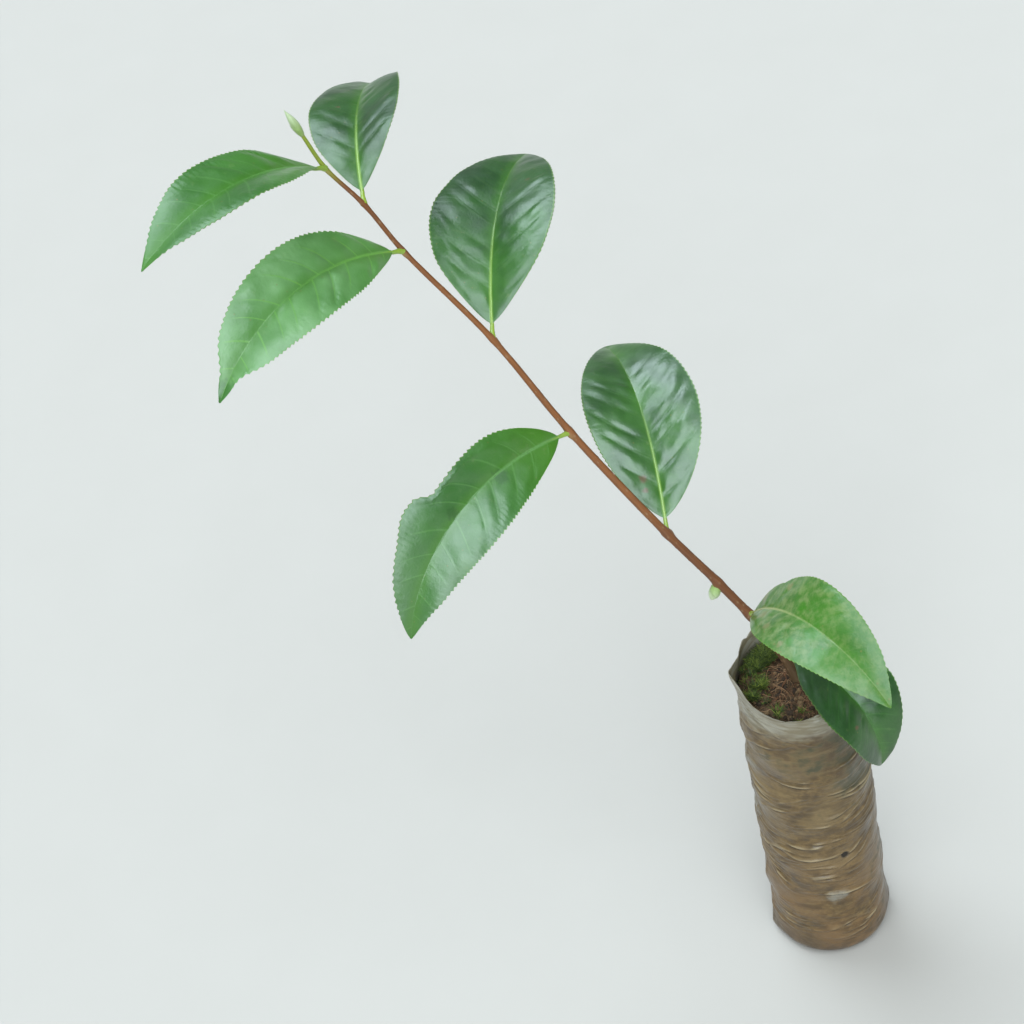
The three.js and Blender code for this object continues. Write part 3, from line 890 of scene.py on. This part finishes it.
def bud_material():
    shader = Shader("bud")
    way = shader.value("way")
    streaks = shader.noise((0.9, 0.9, 4), 4)
    colour = shader.layered(
        shader.mix(streaks, *BUD_GREEN),
        (shader.band(way, 0.15, 0.85), shader.mix(streaks, *BUD_PALE)),
        (shader.band(shader.value("lap"), 0.9, 1.0, 0.0, 0.5), BUD_SEAM),
        (shader.band(way, 0.0, 0.08, 0.7, 0.0), BUD_FOOT),
    )
    shader.set(Base_Color=colour, Roughness=shader.band(streaks, 0.2, 0.8, 0.42, 0.6), Sheen_Weight=0.25)
    shader.bump(streaks, 0.1, 0.7)
    return shader.material


def make_buds():
    material = bud_material()
    end, ahead = on_stem(np.array([STEM_LENGTH - 1.0]))
    tip = bud_part({**TIP_BUD, "length": TIP_BUD["length"] + 1}, end[0], ahead[0], laps=1.4, bend=-0.8)
    make_piece("tip-bud-scales", "tip-bud", material, [tip])
    hanging = heading(SIDE_BUD["turn"], SIDE_BUD["rise"])
    side = bud_part(SIDE_BUD, NODES[SIDE_BUD["node"]], hanging, laps=0.8, bend=0.5)
    make_piece("side-bud-scales", "side-bud", material, [side])


# The film sleeve: the solids' rule, then fine wrinkles, scuffs, a torn rim and punched holes
FILM = {
    "thickness": 0.35, "turns": 208, "rows": 350, "inner_rows": 22, "inner_depth": 8, "algae_turn": 40,
    "curl": 1.3, "milky": 0.5, "hole": 0.5,
}
SWELLS = [dict(grain=(24, 24, 18), height=0.8, seed=3.0), dict(grain=(10, 10, 7), height=0.35, seed=8.0)]
# Creases lie in bundles of a few near-parallel lines that bend like a smile
BUNDLES = {
    "count": 56, "fewest": 2, "most": 5, "shortest": 18, "longest": 62, "low": 14, "high": 188,
    "gap": 3.2, "width": 0.8, "height": 1.2, "tilt": 0.18, "smile": 0.3, "furrow_dirt_and_shade": 1.6, "waver": 1.8,
}
FOLD_LINE = {"share": 0.6, "width": 1.3}
# Places where the film stands clear of the soil and looks milky
MILKY = [
    dict(turn=-66, height=52, wide=8, tall=4.5),
    dict(turn=-150, height=148, wide=10, tall=3),
    dict(turn=45, height=84, wide=8, tall=5),
    dict(turn=120, height=138, wide=11, tall=4),
    dict(turn=190, height=104, wide=9, tall=4),
]
TEARS = [
    dict(turn=-50, width=7, depth=3.0),
    dict(turn=150, width=5, depth=3.5),
    dict(turn=68, width=9, depth=2.5),
]
# Round punched holes, all of one size; their shallow dimples are coloured near-black as painted shade
HOLES = [
    dict(turn=turn, height=height, wide=2.4, tall=2.4)
    for turn, height in [(-54, 84), (30, 70), (140, 112)]
]
# The points where the rim is still pinched flat
POINTS = {"width": 3.2, "rise": 2.6, "reach": 1.6}
# The soil seen through the film, from its crumbs up to broad patches, and what lies in and on the film
# The crease ridges get a painted highlight, the troughs below them painted shade with some dirt, and the
# holes painted shade
FILM_TINTS = {
    "crumbs": ((0.086, 0.048, 0.014), (0.172, 0.106, 0.036)),
    "hollow": (0.050, 0.029, 0.011),
    "haze": (0.192, 0.130, 0.056),
    "strand": (0.245, 0.172, 0.078),
    "between": (0.052, 0.031, 0.012),
    "low": (0.165, 0.082, 0.028),
    "algae": (0.04, 0.042, 0.019),
    "furrow_dirt_and_shade": (0.042, 0.025, 0.011),
    "crest_highlight": (0.37, 0.285, 0.165),
    "milky": (0.27, 0.265, 0.225),
    "foot": (0.055, 0.036, 0.02),
    "clear": ((0.195, 0.162, 0.100), (0.32, 0.295, 0.23)),
    "dust": (0.13, 0.10, 0.06),
    "hole": (0.02, 0.015, 0.01),
}


def sleeve_outline(z):
    below = np.maximum(0, SLEEVE["corner"] - z)
    return SLEEVE["radius"] - SLEEVE["corner"] + np.sqrt(SLEEVE["corner"] ** 2 - below**2)


def slack(angle, z):
    fade = np.minimum(1, z / CREASES[0]["pitch"])
    waves = [c["depth"] * np.sin(2 * np.pi * z / c["pitch"] + c["twist"] * angle) for c in CREASES]
    return fade * sum(waves)


def off_fold(angle):
    """How far an angle is from the tube's two old folds, as a share of the radius"""
    return np.sin(angle - np.radians(EAR["turn"]))


def ear(angle, z):
    spread = np.sin(np.radians(EAR["spread"]))
    return EAR["reach"] * bell(off_fold(angle), spread) * np.exp(-z / EAR["height"])


def rim_lie(angle):
    """How far the rim stands out and up: uneven, low at one side, and pinched at the tube's old folds"""
    pinch = bell(off_fold(angle), np.sin(np.radians(RIM["corner_spread"])))
    flare = RIM["flare"] * np.sin(RIM["flare_lobes"] * (angle - np.radians(RIM["flare_turn"])))
    rise = RIM["rise"] * np.sin(RIM["rise_lobes"] * (angle - np.radians(RIM["rise_turn"])))
    slope = RIM["slope"] * np.cos(angle - np.radians(RIM["low_turn"]))
    return flare + RIM["corner"] * pinch, rise - slope + RIM["corner_rise"] * pinch


def on_sleeve(radius, angle, z):
    """Moves a point of the plain tube as the slack film lies: its radius and its height"""
    rim_share = np.maximum(0, (z - SOIL["level"]) / (SLEEVE["rim"] - SOIL["level"]))
    flare, lift = rim_lie(angle)
    outward = (radius / SLEEVE["radius"]) ** 2
    return radius + outward * (slack(angle, z) + ear(angle, z)) + rim_share * flare, z + rim_share * lift


def round_axis(radius, angle, z):
    return points_at(radius * np.cos(angle), radius * np.sin(angle), z)


def round_sleeve(angle):
    """The distance along the film that an angle spans"""
    return wrapped(angle) * SLEEVE["radius"]


def film_noise(angle, z, grain, seed):
    return noise_at(round_axis(SLEEVE["radius"], angle, z), grain, seed)


def lying_creases(angle, z):
    """Thin ridges of slack film, 0 to 1, in seeded bundles round the sleeve"""
    chance = np.random.default_rng(31)
    wavy = z + BUNDLES["waver"] * film_noise(angle, z, (15, 15, 12), 1.5)
    breaks = np.clip(0.75 + 1.1 * film_noise(angle, z, (7, 7, 5), 9.0), 0.1, 1.0)
    ridges = np.zeros(wavy.shape)
    for _ in range(BUNDLES["count"]):
        turn = chance.uniform(0, 2 * np.pi)
        middle = chance.uniform(BUNDLES["low"], BUNDLES["high"])
        tilt = chance.normal(0, BUNDLES["tilt"])
        smile = BUNDLES["smile"] * chance.uniform(-0.4, 1.0)
        for _ in range(chance.integers(BUNDLES["fewest"], BUNDLES["most"] + 1)):
            length = chance.uniform(BUNDLES["shortest"], BUNDLES["longest"])
            sideways = round_sleeve(angle - turn - chance.normal(0, 0.2))
            own_tilt = tilt + chance.normal(0, 0.04)
            height = middle + own_tilt * sideways + smile * sideways**2 / length
            away = (wavy - height) / (BUNDLES["width"] * chance.uniform(0.8, 1.4))
            taper = np.clip(1 - (2 * sideways / length) ** 2, 0, 1)
            ridges = np.maximum(ridges, chance.uniform(0.3, 1.0) * taper * bell(away))
            middle += BUNDLES["gap"] * chance.uniform(0.6, 1.7)
    return ridges * breaks


def wrinkles(angle, z):
    """The film's swells and thin creases in millimetres, and the shares of the painted highlight on each
    crease and of the painted shade and dirt in the trough below it
    """
    swell = sum(wave["height"] * film_noise(angle, z, wave["grain"], wave["seed"]) for wave in SWELLS)
    folds = FOLD_LINE["share"] * bell(off_fold(angle) * SLEEVE["radius"], FOLD_LINE["width"])
    lying = lying_creases(angle, z)
    furrow_dirt_and_shade = lying_creases(angle, z + BUNDLES["furrow_dirt_and_shade"])
    relief = swell + BUNDLES["height"] * (np.maximum(lying, folds) - 0.5 * furrow_dirt_and_shade)
    return relief, np.maximum(lying, 0.5 * folds), furrow_dirt_and_shade * (1 - lying)


def patch_share(patches, angle, z, inner, outer, ragged=1.0):
    """1 in the middle of each patch of the film and 0 outside it; ragged moves its border in and out"""
    share = 0.0
    for patch in patches:
        sideways = round_sleeve(angle - np.radians(patch["turn"]))
        away = np.hypot(sideways / patch["wide"], (z - patch["height"]) / patch["tall"]) * ragged
        share = np.maximum(share, step_down(away, inner, outer))
    return share


def rim_points(angle):
    """1 at the two pinched points of the rim"""
    return bell(off_fold(angle) * SLEEVE["radius"], POINTS["width"])


def torn_rim(angle, z):
    """How far the rim is lifted or torn down, in millimetres"""
    rim_share = step_up(z, SOIL["level"] - 2, SLEEVE["rim"])
    ragged = 1.5 * film_noise(angle, 0, 11.0, 2.0) + 0.6 * film_noise(angle, 0, 3.0, 6.0)
    torn = 0.0
    for tear in TEARS:
        sideways = np.abs(round_sleeve(angle - np.radians(tear["turn"])))
        torn = torn + tear["depth"] * np.clip(1 - sideways / tear["width"], 0, 1)
    return rim_share * (ragged - torn + POINTS["rise"] * rim_points(angle))


def film_rows():
    """Plain radius and height of each row, from the middle of the underside up the wall and down inside"""
    radius, corner, rim = SLEEVE["radius"], SLEEVE["corner"], SLEEVE["rim"]
    flat = radius - corner
    low = SOIL["level"] - FILM["inner_depth"]
    disc = [(share * flat, 0.0) for share in (0.0, 0.3, 0.6, 0.85)]
    bend = [(flat + corner * np.sin(t), corner * (1 - np.cos(t))) for t in np.linspace(0, np.pi / 2, 10)]
    wall = [(radius, z) for z in np.linspace(corner, rim, FILM["rows"])[1:]]
    inside = [(radius - FILM["thickness"], z) for z in np.linspace(rim, low, FILM["inner_rows"])]
    return np.array(disc + bend + wall + inside)


def film_grid(rows, angle):
    """Points of the film for rows of (radius, height), with the values that its finish reads"""
    radius, z = rows[:, :1], rows[:, 1:]
    rim = SLEEVE["rim"]
    spread, lifted = on_sleeve(radius, angle, z)
    relief, crest_highlight, furrow_dirt_and_shade = wrinkles(angle, z)
    ragged = 1 + 0.5 * film_noise(angle, z, (9, 9, 4), 3.5) + 0.3 * film_noise(angle, z, 2.4, 5.0)
    milky = patch_share(MILKY, angle, z, 0.55, 1.25, ragged)
    hole = patch_share(HOLES, angle, z, 0.8, 1.15)
    calm = step_up(z, 1, 10) * step_down(z, rim - 14, rim) + 0.25 * step_up(z, rim - 26, rim)
    above = step_up(z, SOIL["level"], rim)
    curl = FILM["curl"] * above * film_noise(angle, z, 13.0, 4.0)
    pinched = POINTS["reach"] * above * rim_points(angle)
    grown = spread + calm * relief + FILM["milky"] * milky - FILM["hole"] * hole + curl + pinched
    shown = np.minimum(1, calm)
    return round_axis(grown, angle, lifted + torn_rim(angle, z)), {
        "height": z,
        "crest_highlight": crest_highlight * shown,
        "furrow_dirt_and_shade": furrow_dirt_and_shade * shown,
        "hole": hole,
        "milky": milky,
        "algae": np.cos(angle - np.radians(FILM["algae_turn"])),
    }


def film_material():
    """Dusty clear film over soil: the soil's mottling shows through a haze that thickens in places"""
    shader, tint = Shader("film"), FILM_TINTS
    height, hole = shader.value("height"), shader.value("hole")
    broad, lumps = shader.noise((34, 34, 24), 3, 0.5), shader.noise((8, 8, 6), 3, 0.5)
    crumbs, strands = shader.noise((2.6, 2.6, 2.0), 4, 0.6), shader.noise((17, 17, 2.6), 2, 0.5, 0.6)
    low = shader.times(shader.band(height, 20, 115, 0.6, 0.0), shader.band(broad, 0.35, 0.6))
    algae = shader.plus(shader.times(shader.value("algae"), 0.3), shader.band(height, 90, 185, 0.0, 0.5))
    algae = shader.plus(algae, shader.plus(broad, lumps))
    smeared = shader.times(shader.value("milky"), shader.band(crumbs, 0.3, 0.6, 0.2, 0.55))
    foot = shader.times(shader.band(height, 3, 26, 0.75, 0.0), shader.band(lumps, 0.35, 0.6))
    edge = shader.plus(height, shader.times(shader.math("SUBTRACT", lumps, 0.5), 14.0))
    clear = shader.mix(shader.band(strands, 0.35, 0.65), *tint["clear"])
    colour = shader.layered(
        shader.mix(shader.band(crumbs, 0.25, 0.75), *tint["crumbs"]),
        (shader.band(lumps, 0.35, 0.6, 0.72, 0.0), tint["hollow"]),
        (shader.band(broad, 0.42, 0.66, 0.0, 0.65), tint["haze"]),
        (shader.band(strands, 0.5, 0.75, 0.0, 0.35), tint["strand"]),
        (shader.band(strands, 0.25, 0.46, 0.35, 0.0), tint["between"]),
        (low, tint["low"]),
        (shader.band(algae, 1.22, 1.6, 0.0, 0.85), tint["algae"]),
        # painted shade with some dirt: a dark line in the trough below each crease
        (shader.band(shader.value("furrow_dirt_and_shade"), 0.12, 0.7, 0.0, 0.8), tint["furrow_dirt_and_shade"]),
        # painted highlight: a pale line along each crease ridge
        (shader.band(shader.value("crest_highlight"), 0.2, 0.85, 0.0, 0.72), tint["crest_highlight"]),
        (smeared, tint["milky"]),
        (foot, tint["foot"]),
        (
            shader.band(edge, SOIL["level"] - 17, SOIL["level"] - 6, 0.0, 0.88),
            shader.mix(shader.band(crumbs, 0.6, 0.8, 0.0, 0.5), clear, tint["dust"]),
        ),
        # painted shade: each hole's dimple is coloured near-black
        (hole, tint["hole"]),
    )
    shader.set(Base_Color=colour, Roughness=shader.most(shader.band(lumps, 0.3, 0.7, 0.28, 0.46), hole))
    shader.set(Specular_IOR_Level=0.45, Coat_Weight=0.2, Coat_Roughness=0.22)
    shader.bump(shader.plus(shader.noise((7, 7, 4), 4, 0.5), shader.times(strands, 0.5)), 0.6, 0.8)
    return shader.material


def make_film():
    points, values = film_grid(film_rows(), full_turn(FILM["turns"])[None])
    part = grid_part(points, values, around=True, flip=True)
    make_piece("sleeve-film", "sleeve", film_material(), [part])


# The soil: a crumbly top inside the film, with loose crumbs and fine roots on it
GROUND = {"turns": 300, "rings": 84, "wall_rows": 14, "wall_top": 8, "wall_gap": 0.6, "foot": 3, "edge": 4}
RELIEF = {"lumps": 1.3, "crumbs": 0.9, "grit": 0.4, "sunk": 0.9, "heap": 1.6, "slump": 2.2}
SOIL_TINTS = ((0.044, 0.025, 0.011), (0.135, 0.075, 0.034))
PALE_GRIT = (0.21, 0.13, 0.065)
DARK_GRIT = (0.035, 0.02, 0.011)
CRUMB = {"count": 900, "least": 0.8, "most": 4.4, "clear": 4.5}
CRUMB_TINTS = [
    ((0.028, 0.016, 0.008), (0.052, 0.029, 0.014)),
    ((0.058, 0.033, 0.015), (0.105, 0.059, 0.026)),
    ((0.13, 0.076, 0.034), (0.20, 0.121, 0.057)),
]
ROOTS = {
    "count": 300, "least": 4, "most": 19, "radius": 0.17, "sides": 5, "steps": 10, "bend": 0.28,
    "clear": 7, "wall": 3.5,
}
ROOT_TINTS = [((0.12, 0.048, 0.02), (0.23, 0.10, 0.044)), ((0.24, 0.12, 0.055), (0.38, 0.22, 0.11))]


def clods(x, y):
    away = step_up(np.hypot(x, y), SOIL["seat"], SOIL["clods"])
    waves = 0.0
    for clod in CLODS:
        turn = np.radians(clod["turn"])
        along = x * np.cos(turn) + y * np.sin(turn)
        waves = waves + clod["height"] * np.sin(2 * np.pi * along / clod["length"])
    return away * waves


def soil_height(x, y):
    """The height of the crumbly ground at points of the sleeve's mouth"""
    spots = points_at(x, y)
    lumps = RELIEF["lumps"] * np.abs(noise_at(spots, 6.5, 1.0))
    lumps = lumps + RELIEF["crumbs"] * np.abs(noise_at(spots, 2.8, 4.0))
    grit = RELIEF["grit"] * noise_at(spots, 1.2, 7.0)
    heap = RELIEF["heap"] * bell(np.hypot(x, y), 6.0)
    slump = RELIEF["slump"] * step_up(np.hypot(x, y), 22, 30)
    return SOIL["level"] + clods(x, y) + lumps + grit - RELIEF["sunk"] + heap - slump


def on_surface(height, radius, angle):
    """Points of a surface round the axis, where height(x, y) says how high it lies"""
    x, y = radius * np.cos(angle), radius * np.sin(angle)
    return points_at(x, y, height(x, y))


def soil_material():
    shader = Shader("soil")
    lumps, grit = shader.noise(6, 5, 0.65), shader.noise(1.1, 4, 0.7)
    colour = shader.layered(
        shader.mix(shader.band(lumps, 0.3, 0.7), *SOIL_TINTS),
        (shader.band(grit, 0.55, 0.75, 0.0, 0.6), PALE_GRIT),
        (shader.band(grit, 0.25, 0.42, 0.7, 0.0), DARK_GRIT),
    )
    shader.set(Base_Color=colour, Roughness=shader.band(lumps, 0.3, 0.7, 0.98, 0.8))
    shader.bump(grit, 0.5, 0.9)
    return shader.material


def make_soil():
    angle = full_turn(GROUND["turns"])[None]
    edge, _ = on_sleeve(SLEEVE["radius"] - SOIL["inset"], angle, SOIL["level"] - GROUND["edge"])
    top = on_surface(soil_height, np.linspace(0, 1, GROUND["rings"])[:, None] * edge, angle)
    z = np.linspace(SOIL["level"] - GROUND["wall_top"], GROUND["foot"], GROUND["wall_rows"])[:, None]
    wall_radius, _ = on_sleeve(sleeve_outline(z) - SOIL["inset"] - GROUND["wall_gap"], angle, z)
    wall = round_axis(wall_radius, angle, z)
    middle = round_axis(0.0, angle, GROUND["foot"])
    part = grid_part(np.concatenate([top, wall, middle]), {}, around=True)
    make_piece("soil-crumb-top", "soil", soil_material(), [part])


def spots_on_soil(chance, count, reach):
    """Seeded places spread evenly over the sleeve's mouth, clear of the stem"""
    radius = np.sqrt(chance.uniform(0.03, 1, count)) * reach
    return on_surface(ground_height, radius, chance.uniform(0, 2 * np.pi, count))


def crumb_shape():
    work = bmesh.new()
    bmesh.ops.create_icosphere(work, subdivisions=2, radius=1.0)
    points = np.array([corner.co[:] for corner in work.verts])
    faces = [[corner.index for corner in face.verts] for face in work.faces]
    work.free()
    return points, faces


def make_crumbs():
    """Loose crumbs of all sizes, each one lumpy and half sunk"""
    chance = np.random.default_rng(5)
    ball, faces = crumb_shape()
    crumbs = Scatter()
    for spot in spots_on_soil(chance, CRUMB["count"], SLEEVE["radius"] - CRUMB["clear"]):
        size = CRUMB["least"] + (CRUMB["most"] - CRUMB["least"]) * chance.uniform() ** 3
        stretch = chance.uniform(0.6, 1.0, 3) * size / 2
        lumpy = 1 + 0.35 * noise_at(ball, 0.8, chance.uniform(0, 50))
        crumbs.add(ball * lumpy[:, None] * stretch + spot, faces, chance.integers(len(CRUMB_TINTS)))
    crumbs.make("soil-crumbs", tinted_materials("soil-crumb", CRUMB_TINTS, 0.92, 0.9, 0.4))


def root_part(chance, start):
    """One thin dry root that lies in a loop over the crumbs, inside the film"""
    steps = ROOTS["steps"]
    length = chance.uniform(ROOTS["least"], ROOTS["most"])
    bends = np.cumsum(chance.normal(0, ROOTS["bend"], steps)) + chance.uniform(0, 2 * np.pi)
    x = start[0] + np.cumsum(np.cos(bends)) * length / steps
    y = start[1] + np.cumsum(np.sin(bends)) * length / steps
    pull = np.minimum(1, (SLEEVE["radius"] - ROOTS["wall"]) / np.hypot(x, y))
    x, y = x * pull, y * pull
    arch = chance.uniform(0.2, 2.0) * np.sin(np.linspace(0, np.pi, steps))
    centre = points_at(x, y, ground_height(x, y) + arch)
    ahead = np.gradient(centre, axis=0)
    ahead = ahead / np.linalg.norm(ahead, axis=1, keepdims=True)
    radius = ROOTS["radius"] * chance.uniform(0.6, 1.5) * np.linspace(1, 0.5, steps)
    return grid_part(tube(centre, *across_to(ahead, UP), radius, ROOTS["sides"]), {}, around=True)


def make_roots():
    chance = np.random.default_rng(23)
    roots = Scatter()
    for start in spots_on_soil(chance, ROOTS["count"], SLEEVE["radius"] - ROOTS["clear"]):
        part = root_part(chance, start)
        roots.add(part.points, part.faces.tolist(), chance.integers(len(ROOT_TINTS)))
    roots.make("soil-roots", tinted_materials("fine-root", ROOT_TINTS, 0.8, 3, 0.1))


# The moss: a low cushion along the rim, covered with short leafy shoots
CUSHION_GRID = (110, 30)
CUSHION_TINTS = ((0.035, 0.03, 0.012), (0.05, 0.075, 0.012))
CUSHION_GREEN = (0.10, 0.14, 0.02)
EARTH_TINTS = ((0.055, 0.029, 0.014), (0.17, 0.088, 0.042))
TUFT = {
    "count": 3600, "strays": 420, "least": 1.5, "most": 5.2, "blades": 6, "width": 0.42,
    "upright": 0.15, "splayed": 0.75, "bend": 1.7, "sway": 0.3, "tip_rise": 0.9,
}
STRAY_RING = (21, 28)
TUFT_TINTS = [
    ((0.024, 0.042, 0.005), (0.045, 0.072, 0.008)),
    ((0.060, 0.095, 0.009), (0.092, 0.132, 0.013)),
    ((0.14, 0.185, 0.020), (0.21, 0.25, 0.034)),
]
TINT_SHARES = (0.4, 0.38, 0.22)


def moss_width(along):
    return MOSS["end_width"] + (MOSS["width"] - MOSS["end_width"]) * np.sin(np.pi * along)


def cushion_height(x, y, along, across):
    crown = np.cos(0.8 * np.pi * across) * (0.5 + 0.5 * np.sin(np.pi * along))
    hummocks = 0.75 + 0.5 * noise_at(points_at(x, y), 4.5, 3.0)
    return SOIL["level"] + MOSS["depth"] * crown * hummocks - 0.6


def moss_surface(along, across):
    """Points of the cushion: along from its start to its end, and across from -0.5 inwards to 0.5 outwards"""
    radius = MOSS["middle"] + moss_width(along) * across
    angle = np.radians(MOSS["start"] + (MOSS["end"] - MOSS["start"]) * along)
    x, y = radius * np.cos(angle), radius * np.sin(angle)
    return points_at(x, y, cushion_height(x, y, along, across))


def ground_height(x, y):
    """The height of the soil, or of the cushion's bare end where that lies over it"""
    turn = np.degrees(np.arctan2(y, x)) % 360
    along = np.clip((turn - MOSS["start"]) / (MOSS["end"] - MOSS["start"]), 0, 1)
    across = (np.hypot(x, y) - MOSS["middle"]) / moss_width(along)
    over = (np.abs(across) < 0.5) & (along > MOSS["bare_from"]) & (along < 1)
    soil = soil_height(x, y)
    return np.where(over, np.maximum(soil, cushion_height(x, y, along, across)), soil)


def moss_material():
    shader = Shader("moss")
    tone, fine = shader.noise(3.5), shader.noise(0.8)
    bare = shader.band(shader.value("along"), MOSS["bare_from"] - 0.05, MOSS["bare_from"] + 0.2)
    colour = shader.layered(
        shader.mix(shader.band(tone, 0.35, 0.65), *CUSHION_TINTS),
        (shader.band(fine, 0.5, 0.75, 0.0, 0.6), CUSHION_GREEN),
        (bare, shader.mix(shader.band(tone, 0.3, 0.7), *EARTH_TINTS)),
    )
    shader.set(Base_Color=colour, Roughness=shader.band(fine, 0.3, 0.7, 0.65, 0.9))
    shader.bump(fine, 0.5, 0.8)
    return shader.material


def make_moss_cushion():
    rows, columns = CUSHION_GRID
    along, across = np.linspace(0, 1, rows)[:, None], np.linspace(-0.5, 0.5, columns)[None]
    part = grid_part(moss_surface(along, across), {"along": along}, flip=True)
    make_piece("moss-cushion", "moss", moss_material(), [part])


def moss_spots(chance):
    """Feet of the shoots: patchy on the cushion, and a few strays on the soil along the rim"""
    along = chance.uniform(0.01, 0.99, TUFT["count"])
    across = chance.uniform(-0.48, 0.48, TUFT["count"])
    spots = moss_surface(along, across)
    bare = step_up(along, MOSS["bare_from"], MOSS["bare_from"] + 0.25)
    spots = spots[noise_at(spots, 3.0, 8.0) > 0.5 * bare - 0.02]
    angle = chance.uniform(0, 2 * np.pi, TUFT["strays"])
    strays = on_surface(soil_height, chance.uniform(*STRAY_RING, TUFT["strays"]), angle)
    return np.concatenate([spots, strays[noise_at(strays, 7.0, 2.0) > 0.08]])


def tuft(chance, spot, outward):
    """A moss shoot of a few narrow blades that lean outwards from one foot"""
    corners, faces = [], []
    height = chance.uniform(TUFT["least"], TUFT["most"])
    for _ in range(TUFT["blades"]):
        turn = chance.uniform(0, 2 * np.pi)
        away = np.array([np.cos(turn), np.sin(turn), 0])
        side = np.array([-np.sin(turn), np.cos(turn), 0]) * TUFT["width"] / 2
        lean = chance.uniform(TUFT["upright"], TUFT["splayed"])
        sway = outward * TUFT["sway"]
        middle = spot + (away * lean + sway + UP) * height * 0.5
        tip = spot + (away * lean * TUFT["bend"] + sway + TUFT["tip_rise"] * UP) * height
        start = len(corners)
        corners += [spot, middle + side, tip, middle - side]
        faces.append([start, start + 1, start + 2, start + 3])
    return corners, faces


def make_moss_tufts():
    chance = np.random.default_rng(41)
    tufts = Scatter()
    for spot in moss_spots(chance):
        outward = chance.normal(0, 0.5, 3) * np.array([1, 1, 0])
        tufts.add(*tuft(chance, spot, outward), chance.choice(len(TUFT_TINTS), p=TINT_SHARES))
    tufts.make("moss-tufts", tinted_materials("moss-shoot", TUFT_TINTS, 0.75, 1.2, 0.1))


# The floor, the soft light and the camera
FLOOR = {"radius": 16.0, "sides": 96, "grain": 60, "tints": ((0.455, 0.42, 0.38), (0.47, 0.435, 0.395))}
CAMERA = {
    "place": (233.5, -898.0, 1193.8),
    "aim": (-133.9, 0.0, 310.7),
    "picture_up": (-0.030, 0.695, 0.719),
    "lens": 91.4,
}
# Wide soft lights, seen from the plant at this turn and rise, each as a disc of this radius in degrees
LIGHTS = [
    dict(name="back-light", turn=143, rise=57, radius=23, glow=5.5, tint=(0.77, 0.90, 1.0)),
    dict(name="top-light", turn=-72, rise=60, radius=28, glow=3.9, tint=(0.80, 0.92, 1.0)),
    dict(name="front-light", turn=-72, rise=19, radius=22, glow=3.4, tint=(0.84, 0.94, 1.0)),
]
# The sky is pale at the horizon, dim above it and bright overhead: (rise in degrees, colour)
SKY = [
    (0, (0.54, 0.56, 0.56)),
    (7, (0.31, 0.33, 0.33)),
    (16, (0.14, 0.152, 0.152)),
    (34, (0.123, 0.135, 0.139)),
    (62, (0.51, 0.574, 0.607)),
]


def make_floor():
    """A pale disc with the faintest grain, so wide that its edge lies at the horizon"""
    shader = Shader("floor")
    colour = shader.mix(shader.noise(FLOOR["grain"], 2), *FLOOR["tints"])
    shader.set(Base_Color=colour, Roughness=0.9)
    rim = round_axis(FLOOR["radius"], full_turn(FLOOR["sides"]), 0.0)
    mesh = bpy.data.meshes.new("floor")
    mesh.from_pydata(rim.tolist(), [], [list(range(len(rim)))])
    mesh.materials.append(shader.material)
    add_object("floor", mesh)


def make_lights():
    for light in LIGHTS:
        lamp = bpy.data.lights.new(light["name"], "SUN")
        radius = np.radians(light["radius"])
        lamp.angle = 2 * radius
        lamp.energy = light["glow"] * np.pi * np.sin(radius) ** 2
        lamp.color = light["tint"]
        thing = add_object(light["name"], lamp)
        towards = Vector(heading(light["turn"], light["rise"]).tolist())
        thing.rotation_euler = towards.to_track_quat("Z", "Y").to_euler()
        thing.visible_camera = False


def make_sky():
    """A world whose colour depends only on how high one looks"""
    world = bpy.data.worlds.new("sky")
    world.use_nodes = True
    nodes, links = world.node_tree.nodes, world.node_tree.links
    place = nodes.new("ShaderNodeTexCoord").outputs["Generated"]
    height = nodes.new("ShaderNodeSeparateXYZ")
    links.new(place, height.inputs[0])
    colours = nodes.new("ShaderNodeValToRGB")
    stops = colours.color_ramp.elements
    while len(stops) < len(SKY):
        stops.new(1.0)
    for stop, (rise, colour) in zip(stops, SKY):
        stop.position = np.sin(np.radians(rise))
        stop.color = (*colour, 1)
    links.new(height.outputs["Z"], colours.inputs[0])
    links.new(colours.outputs["Color"], nodes["Background"].inputs["Color"])
    bpy.context.scene.world = world


def make_camera():
    """The photograph's own viewpoint, turned left and down so that the plant fills the picture"""
    lens = bpy.data.cameras.new("camera")
    lens.lens = CAMERA["lens"]
    lens.sensor_width = 36
    lens.clip_end = 20
    back = (Vector(CAMERA["place"]) - Vector(CAMERA["aim"])).normalized()
    right = Vector(CAMERA["picture_up"]).cross(back).normalized()
    turned = Matrix((right, back.cross(right), back)).transposed().to_4x4()
    camera = add_object("camera", lens)
    camera.matrix_world = Matrix.Translation(Vector(CAMERA["place"]) * MM) @ turned
    bpy.context.scene.camera = camera


make_camera()
make_floor()
make_lights()
make_sky()
make_film()
make_soil()
make_crumbs()
make_roots()
make_moss_cushion()
make_moss_tufts()
make_stem()
make_leaves()
make_buds()
bpy.context.scene.view_settings.view_transform = "Standard"
